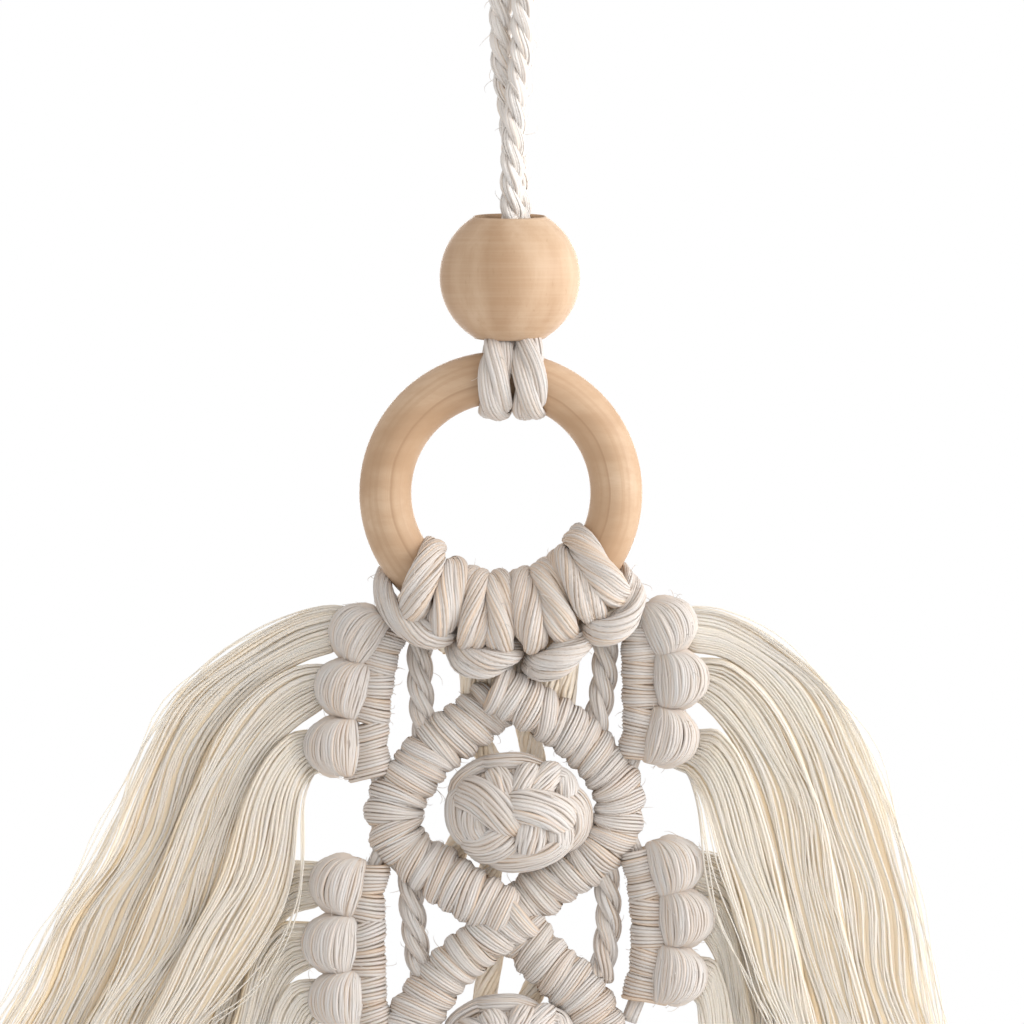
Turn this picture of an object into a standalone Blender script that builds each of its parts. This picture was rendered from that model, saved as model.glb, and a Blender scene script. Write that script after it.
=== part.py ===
"""Macrame wall hanging: twisted cotton loop, wooden bead, wooden ring, a knotted
panel of ridged bars and berry knots, and combed cotton fringe down both sides.

Metres, +Z up, front towards -Y. The origin is the top of the hanging loop, and
heights are written as the drop below it. Tables are in millimetres.
"""
import math

import bmesh
import bpy
from mathutils import Vector

MM = 0.001
ADDERS = "adders"

# ---- driving dimensions (millimetres) ----
CORD_DIAMETER = 4.3
CORD_PITCH = 16.0
CORD_PLIES = 3
GAP = 0.3
BEAD_CENTRE = (0.5, 77.6)
BEAD_DIAMETER = 24.8
BEAD_HOLE = 12.2
RING_CENTRE = (-1.1, 115.7)
RING_OUTSIDE = 50.0
RING_TUBE = 9.2
BAR_RIDGE = 3.3
BAR_WIDTH = 7.6
BAR_DEPTH = 6.6
LEG_THICKNESS = 3.0
CORE_DIAMETER = 2.6
WRAP_THICKNESS = 1.6
BULGE_WIDTH = 9.4
BULGE_LENGTH = 8.8
BULGE_DEPTH = 6.6
# how full the bight is at five steps from its top to its foot
BULGE_SHAPE = ((-1.0, 0.55), (-0.6, 0.88), (0.0, 1.0), (0.6, 0.88), (1.0, 0.55))

RING_MAJOR = 0.5 * (RING_OUTSIDE - RING_TUBE)
# air between a strand and what it wraps: its own clearance and the facets' sag
LEG_CLEARANCE = GAP + 0.35
WRAP_CLEARANCE = GAP + 0.25

COTTON = ("cotton", (0.79, 0.73, 0.66), 0.9)
FRINGE = ("combed_cotton", (0.82, 0.74, 0.64), 0.88)
WOOD = ("beech_wood", (0.74, 0.56, 0.41), 0.5)


# ---- scene helpers ----
def clear_scene():
    for old in list(bpy.data.objects):
        bpy.data.objects.remove(old, do_unlink=True)


def new_collection(name):
    made = bpy.data.collections.new(name)
    bpy.context.scene.collection.children.link(made)
    return made


def material(spec):
    name, colour, roughness = spec
    found = bpy.data.materials.get(name)
    if found:
        return found
    made = bpy.data.materials.new(name)
    made.use_nodes = True
    shader = made.node_tree.nodes["Principled BSDF"]
    shader.inputs["Base Color"].default_value = (*colour, 1.0)
    shader.inputs["Roughness"].default_value = roughness
    shader.inputs["Metallic"].default_value = 0.0
    return made


def add_mesh_object(name, mesh, collection, spec):
    made = bpy.data.objects.new(name, mesh)
    collection.objects.link(made)
    mesh.materials.clear()
    mesh.materials.append(material(spec))
    mesh.shade_smooth()
    return made


def at(x, drop, y=0.0):
    """A point from its x, its drop below the loop's top and its depth, all in mm."""
    return Vector((x, y, -drop))


# ---- curves and lofts ----
def smooth(points, count):
    """Points evenly spread along a smooth curve through the given points."""
    pts = [Vector(p) for p in points]
    ends = [2 * pts[0] - pts[1]] + pts + [2 * pts[-1] - pts[-2]]
    fine = []
    for k in range(1, len(ends) - 2):
        a, b, c, d = ends[k - 1], ends[k], ends[k + 1], ends[k + 2]
        for step in range(12):
            t = step / 12
            fine.append(0.5 * (2 * b + (c - a) * t + (2 * a - 5 * b + 4 * c - d) * t * t
                               + (3 * b - a - 3 * c + d) * t ** 3))
    fine.append(pts[-1])
    lengths = [0.0]
    for a, b in zip(fine, fine[1:]):
        lengths.append(lengths[-1] + (b - a).length)
    out = []
    k = 0
    for n in range(count):
        want = lengths[-1] * n / (count - 1)
        while k < len(lengths) - 2 and lengths[k + 1] < want:
            k += 1
        span = lengths[k + 1] - lengths[k]
        t = 0.0 if span < 1e-9 else (want - lengths[k]) / span
        out.append(fine[k].lerp(fine[k + 1], min(1.0, t)))
    return out


def path_length(points):
    return sum((b - a).length for a, b in zip(points, points[1:]))


def frames(points, side_hint):
    """A (side, depth) pair of unit vectors at each point, carried without twist."""
    out = []
    side = Vector(side_hint)
    for k, p in enumerate(points):
        ahead = (points[min(k + 1, len(points) - 1)] - points[max(k - 1, 0)]).normalized()
        side = (side - ahead * side.dot(ahead)).normalized()
        out.append((side.copy(), ahead.cross(side).normalized()))
    return out


def loft(sections):
    """A closed skin over rings of points, with flat ends."""
    bm = bmesh.new()
    rings = [[bm.verts.new(p * MM) for p in ring] for ring in sections]
    count = len(rings[0])
    for low, high in zip(rings, rings[1:]):
        for k in range(count):
            nxt = (k + 1) % count
            bm.faces.new((low[k], low[nxt], high[nxt], high[k]))
    bm.faces.new(list(reversed(rings[0])))
    bm.faces.new(rings[-1])
    bmesh.ops.triangulate(bm, faces=bm.faces)
    bmesh.ops.recalc_face_normals(bm, faces=bm.faces)
    mesh = bpy.data.meshes.new("loft")
    bm.to_mesh(mesh)
    bm.free()
    return mesh


def oval(centre, side, depth, half_side, half_depth, sides, turn=0.0):
    ring = []
    for k in range(sides):
        a = 2 * math.pi * k / sides + turn
        ring.append(centre + side * (half_side * math.cos(a)) + depth * (half_depth * math.sin(a)))
    return ring


def strand(points, half_side, half_depth, side_hint, sides=6, taper=None):
    """A plain strand of oval section along the points."""
    rings = []
    for k, (p, (side, depth)) in enumerate(zip(points, frames(points, side_hint))):
        grow = taper(k / (len(points) - 1)) if taper else 1.0
        rings.append(oval(p, side, depth, half_side * grow, half_depth * grow, sides))
    return loft(rings)


def twisted(points, diameter, pitch, side_hint, start=0.0):
    """A cord of plies laid round each other: each section has a lobe for a ply."""
    rings = []
    run = 0.0
    for k, (p, (side, depth)) in enumerate(zip(points, frames(points, side_hint))):
        if k:
            run += (p - points[k - 1]).length
        turn = start + 2 * math.pi * run / pitch
        ring = []
        for n in range(2 * CORD_PLIES):
            a = math.pi * n / CORD_PLIES + turn
            r = 0.5 * diameter * (1.0 if n % 2 == 0 else 0.72)
            ring.append(p + side * (r * math.cos(a)) + depth * (r * math.sin(a)))
        rings.append(ring)
    return loft(rings)


def ridged_bar(points, width, depth_size, ridge, side_hint):
    """A row of tight wraps round a leading cord: a crest and a valley for each."""
    length = path_length(points)
    wraps = max(2, round(length / ridge))
    spots = smooth(points, 2 * wraps + 1)
    rings = []
    for k, (p, (side, depth)) in enumerate(zip(spots, frames(spots, side_hint))):
        crest = 1.0 if k % 2 else 0.83
        rings.append(oval(p, side, depth, 0.5 * width * crest, 0.5 * depth_size * crest, 6,
                          math.pi / 6))
    return loft(rings)


def fuse(name, meshes, collection, spec):
    """One solid from overlapping meshes, by a Boolean union."""
    hidden = bpy.data.collections[ADDERS]
    base = add_mesh_object(name, meshes[0], collection, spec)
    adders = bpy.data.collections.new(name + "_adders")
    hidden.children.link(adders)
    for n, mesh in enumerate(meshes[1:]):
        piece = bpy.data.objects.new("%s_add_%d" % (name, n), mesh)
        adders.objects.link(piece)
    union = base.modifiers.new("union", "BOOLEAN")
    union.operation = "UNION"
    union.operand_type = "COLLECTION"
    union.collection = adders
    union.solver = "EXACT"
    union.use_self = True
    graph = bpy.context.evaluated_depsgraph_get()
    done = bpy.data.meshes.new_from_object(base.evaluated_get(graph))
    base.modifiers.clear()
    for piece in list(adders.objects):
        bpy.data.objects.remove(piece, do_unlink=True)
    bpy.data.collections.remove(adders)
    bm = bmesh.new()
    bm.from_mesh(done)
    bmesh.ops.remove_doubles(bm, verts=bm.verts, dist=0.000002)
    bmesh.ops.dissolve_limit(bm, angle_limit=math.radians(0.6), verts=bm.verts, edges=bm.edges)
    bmesh.ops.triangulate(bm, faces=bm.faces)
    bm.to_mesh(done)
    bm.free()
    base.data = done
    done.materials.clear()
    done.materials.append(material(spec))
    done.shade_smooth()
    return base


# ---- bead and ring ----
def turned(name, profile, steps, collection, spec, location):
    mesh = bpy.data.meshes.new(name)
    edges = [(k, (k + 1) % len(profile)) for k in range(len(profile))]
    mesh.from_pydata([(r * MM, 0.0, z * MM) for r, z in profile], edges, [])
    made = add_mesh_object(name, mesh, collection, spec)
    made.location = location * MM
    screw = made.modifiers.new("turn", "SCREW")
    screw.steps = steps
    screw.render_steps = steps
    screw.use_merge_vertices = True
    screw.merge_threshold = 0.00005
    return made


def make_bead(collection):
    radius = 0.5 * BEAD_DIAMETER
    hole = 0.5 * BEAD_HOLE
    flat = math.asin(hole / radius) + math.radians(1)
    rows = 10
    profile = []
    for k in range(rows + 1):
        a = flat + (math.pi - 2 * flat) * k / rows
        profile.append((radius * math.sin(a), radius * math.cos(a)))
    end = radius * math.cos(flat)
    profile.append((hole, -end + 0.5))
    profile.append((hole, end - 0.5))
    x, drop = BEAD_CENTRE
    return turned("bead", profile, 20, collection, WOOD, at(x, drop))


def make_ring(collection):
    radius = 0.5 * RING_TUBE
    sides = 10
    profile = []
    for k in range(sides):
        a = math.pi / 2 - 2 * math.pi * (k + 0.5) / sides
        profile.append((RING_MAJOR + radius * math.cos(a), radius * math.sin(a)))
    x, drop = RING_CENTRE
    made = turned("ring", profile, 32, collection, WOOD, at(x, drop))
    made.rotation_euler = (math.pi / 2, 0.0, 0.0)
    return made


# ---- hanging cord ----
# The free loop, from the bead's right strand round the top to its left strand.
LOOP_ROUTE = (
    # x, drop, y
    (1.6, 69.6, -2.35),
    (1.9, 58.0, -2.35),
    (2.4, 46.0, -2.2),
    (3.1, 28.6, -1.2),
    (4.4, 23.6, -0.9),
    (6.6, 19.0, -0.5),
    (8.6, 15.0, -0.2),
    (9.3, 11.0, 0.0),
    (8.65, 7.7, 0.0),
    (6.8, 5.0, 0.0),
    (4.0, 3.1, 0.0),
    (0.7, 2.45, 0.0),
    (-2.6, 3.1, 0.0),
    (-5.4, 5.0, 0.0),
    (-7.25, 7.7, 0.0),
    (-7.9, 11.0, 0.0),
    (-7.2, 15.0, 0.2),
    (-5.2, 19.0, 0.5),
    (-2.9, 23.6, 0.9),
    (-1.6, 28.6, 1.2),
    (-0.4, 46.0, 2.2),
    (0.3, 58.0, 2.35),
    (0.6, 69.6, 2.35),
)

# One strand of the cord from inside the bead, over the ring's front and under it,
# up its back to the middle of the bight; the other strand mirrors it.
HITCH_ROUTE = (
    # x from the middle, drop, y
    (0.3, 70.4, 2.3),
    (1.6, 79.0, 1.6),
    (2.4, 86.6, -1.2),
    (2.9, 90.8, -5.0),
    (3.0, 95.4, -6.8),
    (3.0, 99.8, -5.8),
    (3.0, 102.5, -2.4),
    (3.0, 102.7, 1.6),
    (3.0, 100.4, 5.4),
    (3.0, 96.0, 6.9),
    (2.9, 92.2, 6.2),
    (2.2, 89.6, 4.6),
    (0.0, 88.7, 4.0),
)
HITCH_MIDDLE = 0.3


def make_hanging_loop(collection):
    points = [at(x, drop, y) for x, drop, y in LOOP_ROUTE]
    rough = smooth(points, 40)
    count = int(path_length(rough) / (CORD_PITCH / 8)) + 1
    mesh = twisted(smooth(points, count), CORD_DIAMETER, CORD_PITCH, (0, 1, 0))
    return add_mesh_object("hanging_loop", mesh, collection, COTTON)


def make_ring_hitch(collection):
    right = [at(HITCH_MIDDLE + x, drop, y) for x, drop, y in HITCH_ROUTE]
    left = [at(HITCH_MIDDLE - x, drop, y) for x, drop, y in HITCH_ROUTE[:-1]]
    # the left strand enters the bead in front of the right one
    left[0] = at(HITCH_MIDDLE - HITCH_ROUTE[0][0], HITCH_ROUTE[0][1], -HITCH_ROUTE[0][2])
    left[1] = at(HITCH_MIDDLE - HITCH_ROUTE[1][0] - 0.5, HITCH_ROUTE[1][1], -2.2)
    points = smooth(right + list(reversed(left)), 38)
    rings = []
    for p, (side, depth) in zip(points, frames(points, (1, 0, 0))):
        flat = min(1.0, max(0.0, (-p.z - 82.0) / 8.0))
        rings.append(oval(p, side, depth, 2.1 + 0.55 * flat, 2.1 - 0.75 * flat, 6))
    return add_mesh_object("ring_hitch", loft(rings), collection, COTTON)


# ---- knotted panel ----
# Mounting knots on the ring: the angle from straight down and the lower bar's reach.
MOUNTS = (
    # angle_deg, bar_radius, bar_turn_deg
    (-35.5, 28.0, 4.0),
    (-7.6, 29.2, 2.0),
    (20.3, 29.4, -2.0),
    (48.0, 28.0, -4.0),
)
MOUNT_PITCH_DEG = 27.6

# Diamonds: the drop of the upper crossing, how much longer the upper half is than the
# first one's, how much narrower, and the berry's centre.
DIAMONDS = (
    # crossing_drop, upper_stretch, width_factor, berry_x, berry_drop
    (150.4, 1.0, 1.0, 2.3, 172.3),
    (190.6, 1.3, 0.96, 1.4, 215.2),
)
DIAMOND_HALF = 19.9
# Centre lines of the two chains of ridged bars, for the first diamond.
BARS_LEFT = (
    # x, drop, y
    (-1.6, 152.4, 0.6),
    (-8.0, 157.3, 0.0),
    (-13.4, 160.6, 0.0),
    (-17.0, 165.2, 0.0),
    (-20.4, 169.8, 0.0),
    (-20.8, 174.4, 0.0),
    (-18.6, 179.0, 0.0),
    (-12.4, 183.1, -0.6),
    (-6.3, 186.9, -1.8),
    (0.4, 190.6, -2.4),
)
BARS_RIGHT = (
    (-2.6, 149.6, -2.4),
    (4.4, 153.6, -1.8),
    (10.1, 157.1, -0.6),
    (15.4, 161.8, 0.0),
    (19.0, 166.6, 0.0),
    (20.0, 171.2, 0.0),
    (18.7, 176.0, 0.0),
    (15.3, 180.4, 0.0),
    (9.4, 184.2, 0.8),
    (3.6, 188.2, 1.6),
    (0.0, 191.0, 2.0),
)
# Twisted linking cords inside the diamonds' corners: top, middle and foot.
LINKS = (
    ((-15.4, 142.0, 1.4), (-15.3, 151.0, 1.0), (-14.2, 160.6, 0.4)),
    ((17.4, 140.6, 1.4), (17.1, 149.0, 1.0), (15.4, 158.4, 0.4)),
    ((-17.1, 183.0, 0.6), (-16.4, 194.0, 1.0), (-14.6, 203.6, 0.4)),
    ((17.4, 181.0, 0.6), (18.0, 191.5, 1.0), (16.6, 202.0, 0.4)),
)
# Plain filler cords behind: from the mounting knots and from the berries to the bars.
FILLERS = (
    ((-7.4, 143.8, 1.0), (-6.6, 156.0, 1.8)),
    ((-2.6, 144.2, 1.2), (-1.6, 151.6, 0.8)),
    ((4.4, 144.0, 1.2), (3.4, 152.8, 0.6)),
    ((10.8, 143.4, 1.0), (9.6, 156.0, 1.4)),
)
BERRY_TIES = (
    ((-7.6, 157.6, 1.4), (-3.6, 167.0, 2.4)),
    ((9.2, 157.2, 1.4), (6.6, 167.0, 2.4)),
    ((-9.2, 184.6, 1.4), (-4.8, 177.0, 2.4)),
    ((8.4, 184.0, 1.4), (6.4, 177.0, 2.4)),
)
# Outer cords that carry the side fringe.
OUTER_CORDS = (
    ((-17.2, 136.6, 2.6), (-19.4, 139.0, 1.2), (-22.0, 143.6, 0.0), (-23.4, 151.8, 0.0),
     (-24.0, 161.3, 0.0), (-21.6, 169.6, 0.0)),
    ((19.6, 133.6, 2.6), (21.6, 136.8, 1.2), (23.0, 141.5, 0.0), (23.4, 149.5, 0.0),
     (23.3, 158.5, 0.0), (20.8, 167.0, 0.0)),
    ((-21.4, 177.0, 0.0), (-24.4, 185.0, 0.0), (-24.5, 196.5, 0.0), (-24.2, 206.4, 0.0),
     (-22.0, 212.6, 0.0)),
    ((20.6, 174.6, 0.0), (23.8, 182.4, 0.0), (24.9, 191.5, 0.0), (24.5, 200.7, 0.0),
     (21.6, 209.4, 0.0)),
)
BERRY_RADII = (12.4, 9.0, 9.9)
# Bands that cross over the berry's face: where each starts, bends and ends.
BERRY_BANDS = (
    # start, bend, end (x, drop from the berry's centre), half width
    ((-11.6, 1.0), (-6.6, -3.8), (-1.6, 3.0), 3.1),
    ((-2.6, -4.0), (3.6, -2.6), (9.6, 2.2), 3.0),
    ((-0.6, 1.6), (1.0, 4.4), (1.6, 6.8), 2.2),
    ((-9.4, 6.4), (-1.6, 8.6), (9.4, 5.2), 2.6),
    ((-4.4, -7.4), (3.0, -8.6), (9.4, -5.0), 2.6),
)


def on_ring(angle_deg, radius, y):
    """A point at an angle from straight down round the ring's centre."""
    a = math.radians(angle_deg)
    return at(RING_CENTRE[0] + radius * math.sin(a), RING_CENTRE[1] + radius * math.cos(a), y)


def ring_leg(angle_deg):
    """One leg of a mounting knot: from behind, over the inner edge, down the front."""
    a = math.radians(angle_deg)
    out = Vector((math.sin(a), 0.0, -math.cos(a)))
    along = Vector((math.cos(a), 0.0, math.sin(a)))
    front = Vector((0.0, -1.0, 0.0))
    rho = 0.5 * RING_TUBE + LEG_CLEARANCE + 0.5 * LEG_THICKNESS
    half_pitch = math.radians(MOUNT_PITCH_DEG / 4)
    rings = []
    steps = 7
    centre = on_ring(angle_deg, RING_MAJOR, 0.0)
    for k in range(steps + 1):
        turn = math.radians(322 - (322 - 38) * k / steps)
        spoke = out * math.cos(turn) + front * math.sin(turn)
        radius = RING_MAJOR + rho * math.cos(turn)
        half = min(3.3, 1.04 * half_pitch * radius)
        rings.append(oval(centre + spoke * rho, along, spoke, half, 0.5 * LEG_THICKNESS, 6,
                          math.pi / 6))
    foot = on_ring(angle_deg, 28.6, -3.4)
    rings.append(oval(foot, along, front, 2.4, 1.5, 6, math.pi / 6))
    return loft(rings)


def mounting_knot(angle_deg, bar_radius, bar_turn_deg):
    quarter = MOUNT_PITCH_DEG / 4
    pieces = [ring_leg(angle_deg - quarter), ring_leg(angle_deg + quarter)]
    spread = math.degrees(5.4 / bar_radius)
    bar = []
    for n in range(5):
        t = n / 2 - 1
        radius = bar_radius + math.radians(bar_turn_deg) * t * 5.4 - 0.9 * t * t
        bar.append(on_ring(angle_deg + spread * t, radius, -3.4 + 1.2 * t * t))
    pieces.append(strand(bar, 2.2, 3.1, (0, 1, 0), 8,
                         lambda t: 1.0 - 0.35 * (2 * t - 1) ** 2))
    for side in (-1, 1):
        ends = [on_ring(angle_deg + side * quarter, 24.8, 5.1),
                on_ring(angle_deg + side * 0.8 * quarter, 27.6, 2.4),
                on_ring(angle_deg + side * 0.6 * quarter, 30.2, 1.0)]
        pieces.append(strand(ends, 2.1, 1.4, (1, 0, 0)))
    return pieces


def berry(centre_x, centre_drop):
    """A ball knot: a round heart with cords crossing over its face."""
    rx, ry, rz = BERRY_RADII
    pieces = []
    bm = bmesh.new()
    bmesh.ops.create_uvsphere(bm, u_segments=12, v_segments=7, radius=1.0)
    for v in bm.verts:
        v.co = (at(centre_x, centre_drop) + Vector((v.co.x * (rx - 1.0), v.co.y * ry,
                                                    v.co.z * (rz - 1.0)))) * MM
    ball = bpy.data.meshes.new("ball")
    bm.to_mesh(ball)
    bm.free()
    pieces.append(ball)
    for start, bend, end, half in BERRY_BANDS:
        route = []
        for x, drop in smooth_flat((start, bend, end), 5):
            inside = max(0.0, 1.0 - (x / rx) ** 2 - (drop / rz) ** 2)
            route.append(at(centre_x + x, centre_drop + drop, -(ry - 0.7) * math.sqrt(inside)))
        pieces.append(strand(route, half, 1.9, (0.3, 0.0, 1.0), 6,
                             lambda t: 1.0 - 0.3 * (2 * t - 1) ** 2))
    return pieces


def smooth_flat(points, count):
    return [(p.x, p.y) for p in smooth([(x, d, 0.0) for x, d in points], count)]


def in_diamond(n, x, drop, y):
    """A point of the first diamond's drawing, placed in the nth diamond.

    The chains swap sides at each crossing, so every other diamond is mirrored.
    """
    start, stretch, width, _, _ = DIAMONDS[n]
    rise = drop - DIAMONDS[0][0]
    low = start + stretch * min(rise, DIAMOND_HALF) + max(0.0, rise - DIAMOND_HALF)
    flip = -1.0 if n % 2 else 1.0
    return at(flip * width * (x - 0.2) + 0.2, low, y)


def make_knotted_panel(collection):
    pieces = []
    for angle, radius, turn in MOUNTS:
        pieces.extend(mounting_knot(angle, radius, turn))
    for n, (_, _, _, berry_x, berry_drop) in enumerate(DIAMONDS):
        for route in (BARS_LEFT, BARS_RIGHT):
            points = [in_diamond(n, *p) for p in route]
            pieces.append(ridged_bar(points, BAR_WIDTH, BAR_DEPTH, BAR_RIDGE, (0, 1, 0)))
        pieces.extend(berry(berry_x, berry_drop))
        for tie in BERRY_TIES:
            points = smooth([in_diamond(n, *p) for p in tie], 3)
            pieces.append(strand(points, 1.7, 1.5, (1, 0, 0)))
    for link in LINKS:
        points = smooth([at(*p) for p in link], 8)
        pieces.append(twisted(points, CORD_DIAMETER, CORD_PITCH, (1, 0, 0)))
    for filler in FILLERS:
        points = smooth([at(*p) for p in filler], 3)
        pieces.append(strand(points, 2.0, 1.7, (1, 0, 0)))
    for route in OUTER_CORDS:
        points = smooth([at(*p) for p in route], 9)
        pieces.append(strand(points, 0.5 * CORE_DIAMETER, 0.5 * CORE_DIAMETER, (0, 1, 0)))
    return fuse("knotted_panel", pieces, collection, COTTON)


# ---- side fringe ----
# Heads: the wraps' centre on the outer cord, which way the fringe leaves, and sizes.
HEADS = {
    # name: (x, drop, tilt_deg, reach, wraps_height, line_above, line_below, depth)
    "fringe_left_1": (-22.0, 143.6, 33, 5.8, 7.6, 0, 1, 0.4),
    "fringe_left_2": (-23.4, 152.0, 16, 6.2, 8.2, 1, 2, 0.2),
    "fringe_left_3": (-24.0, 160.4, 2, 7.0, 8.0, 2, 3, -2.6),
    "fringe_left_4": (-24.6, 186.6, 14, 5.8, 9.2, 4, 5, 3.2),
    "fringe_left_5": (-24.5, 196.5, 6, 7.0, 9.4, 5, 6, 1.0),
    "fringe_left_6": (-24.1, 206.0, 2, 6.2, 8.8, 6, 7, 0.0),
    "fringe_right_1": (22.9, 141.9, 24, 6.5, 6.8, 0, 1, 0.4),
    "fringe_right_2": (23.4, 149.4, 4, 7.4, 7.8, 1, 2, 0.2),
    "fringe_right_3": (23.3, 158.2, -12, 5.8, 8.0, 2, 3, -2.6),
    "fringe_right_4": (24.0, 183.4, 14, 6.1, 7.8, 4, 5, 3.2),
    "fringe_right_5": (24.9, 191.8, 5, 6.9, 8.4, 5, 6, 1.0),
    "fringe_right_6": (24.5, 200.9, -6, 6.0, 8.4, 6, 7, 0.0),
}
# Lines that the combed fringe follows, from outermost to innermost on each side.
FLOW_LEFT = (
    # crest, shoulder, knee, fall and tip, each (x, drop)
    ((-43.6, 139.8), (-59.2, 150.9), (-69.8, 172.6), (-89.6, 208.2), (-109.0, 304.0)),
    ((-40.1, 147.0), (-50.4, 156.7), (-57.8, 175.3), (-73.3, 209.6), (-93.0, 311.0)),
    ((-40.1, 159.0), (-46.1, 167.3), (-49.3, 180.6), (-63.1, 209.6), (-79.0, 318.0)),
    ((-37.6, 170.0), (-38.3, 177.9), (-41.5, 188.5), (-54.2, 209.6), (-68.5, 320.0)),
    ((-37.3, 185.0), (-41.9, 192.6), (-47.5, 200.9), (-52.8, 212.6), (-67.6, 339.0)),
    ((-40.5, 192.6), (-44.7, 198.0), (-47.1, 204.7), (-48.6, 214.6), (-57.0, 349.0)),
    ((-38.9, 201.7), (-41.3, 205.9), (-42.5, 211.6), (-42.9, 218.6), (-44.5, 358.0)),
    ((-35.5, 213.3), (-35.8, 216.6), (-35.8, 221.2), (-35.4, 228.3), (-30.0, 363.0)),
)
FLOW_RIGHT = (
    ((41.2, 137.1), (54.8, 146.8), (67.0, 165.6), (76.2, 202.7), (84.5, 318.0)),
    ((40.8, 145.2), (48.2, 153.2), (54.4, 168.2), (63.4, 209.6), (73.9, 325.0)),
    ((38.0, 156.6), (42.6, 163.8), (46.8, 178.8), (53.9, 209.6), (64.1, 329.0)),
    ((35.2, 170.0), (36.6, 177.1), (39.1, 187.7), (47.4, 209.6), (57.1, 329.0)),
    ((40.0, 180.6), (43.8, 186.8), (47.0, 195.6), (49.6, 211.6), (57.4, 342.0)),
    ((39.1, 189.8), (40.7, 194.7), (41.9, 201.8), (43.1, 211.6), (47.6, 350.0)),
    ((38.0, 199.7), (38.9, 203.7), (39.5, 208.2), (39.5, 216.4), (38.6, 357.0)),
    ((35.2, 210.6), (35.2, 215.0), (35.0, 220.3), (34.4, 226.5), (28.0, 362.0)),
)
# Where each lock lies across its bundle and from front to back.
LOCK_SEATS = (
    # across (0 outer to 1 inner), depth from the bundle's middle
    (0.08, -1.6),
    (0.40, -1.6),
    (0.72, -1.6),
    (0.24, 1.6),
    (0.56, 1.6),
    (0.88, 1.6),
)


def head_axes(side, tilt_deg):
    a = math.radians(tilt_deg)
    out = Vector((side * math.cos(a), 0.0, math.sin(a)))
    along = Vector((side * math.sin(a), 0.0, -math.cos(a)))
    return out, along


def cord_spot(side, x, drop, shift):
    """The point of the outer cord nearest (x, drop), moved along it, and its tangent."""
    near = at(x, drop)
    best = None
    for route in OUTER_CORDS:
        line = smooth([at(a, d, y) for a, d, y in route], 241)
        k = min(range(len(line)), key=lambda n: (line[n] - near).length)
        if best is None or (line[k] - near).length < (best[0][best[1]] - near).length:
            best = (line, k)
    line, k = best
    step = (line[1] - line[0]).length
    k = max(2, min(len(line) - 3, k + round(shift / step)))
    return line[k], (line[k + 2] - line[k - 2]).normalized()


def head_wrap(centre, side, along, width):
    """A turn of combed cord round the outer cord, open at the side where the ends leave."""
    front = Vector((0.0, -1.0, 0.0))
    out = front.cross(along).normalized()
    if out.x * side < 0:
        out = -out
    rho = 0.5 * CORE_DIAMETER + WRAP_CLEARANCE + 0.5 * WRAP_THICKNESS
    rings = []
    steps = 6
    for k in range(steps + 1):
        turn = math.radians(336 - (336 - 24) * k / steps)
        spoke = out * math.cos(turn) + front * math.sin(turn)
        rings.append(oval(centre + spoke * rho, along, spoke, 0.5 * width,
                          0.5 * WRAP_THICKNESS, 6, math.pi / 6))
    return loft(rings)


def fringe_head(side, spec):
    x, drop, tilt, reach, height, _, _, _ = spec
    out, along = head_axes(side, tilt)
    centre = at(x, drop)
    pieces = []
    for sign in (-1, 1):
        spot, tangent = cord_spot(side, x, drop, sign * 0.25 * height)
        pieces.append(head_wrap(spot, side, tangent, 0.52 * height))
    # the bulging bight over the ends
    bulge = centre + out * reach + Vector((0.0, -1.4, 0.0))
    rings = []
    for t, full in BULGE_SHAPE:
        spot = bulge + along * (0.5 * BULGE_LENGTH * t)
        rings.append(oval(spot, out, Vector((0, -1, 0)), 0.5 * BULGE_WIDTH * full,
                          0.5 * BULGE_DEPTH * full, 8, math.pi / 8))
    pieces.append(loft(rings))
    # the two ends leaving behind the bight
    start = centre + out * 2.0 + Vector((0.0, 0.6, 0.0))
    end = centre + out * (reach + 0.5 * BULGE_WIDTH + 0.9) + Vector((0.0, 0.6, 0.0))
    spots = [start.lerp(end, t) for t in (0.0, 0.5, 1.0)]
    rings = []
    for p, half in zip(spots, (2.2, 3.3, 4.0)):
        rings.append(oval(p, along, Vector((0, 1, 0)), half, 2.5, 6, math.pi / 6))
    pieces.append(loft(rings))
    return pieces, end - out * 0.7, along


def flow_point(lines, above, below, across, n):
    a = lines[above][n]
    b = lines[below][n]
    return a[0] + (b[0] - a[0]) * across, a[1] + (b[1] - a[1]) * across


def lock_route(side, spec, root_centre, along, across, depth):
    """The middle line of one lock: out of the head, over the shoulder and down."""
    _, _, _, _, _, above, below, layer = spec
    lines = FLOW_LEFT if side < 0 else FLOW_RIGHT
    points = [root_centre + along * ((across - 0.5) * 6.8) + Vector((0, 0.6 * depth, 0))]
    for n, settle in enumerate((0.85, 1.0, 1.0, 1.0, 1.0)):
        x, drop = flow_point(lines, above, below, across, n)
        points.append(at(x, drop, (layer + depth) * settle))
    fine = smooth(points, 241)
    # close steps over the shoulder, long ones down the fall
    steps = 7
    crowd = 2.1 if above > 3 else 1.6
    return [fine[round(240 * (k / steps) ** crowd)] for k in range(steps + 1)]


def straight_steps(points, parts):
    """The points with even steps added along each straight between them."""
    out = [points[0]]
    for a, b in zip(points, points[1:]):
        out.extend(a.lerp(b, n / parts) for n in range(1, parts + 1))
    return out


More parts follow.
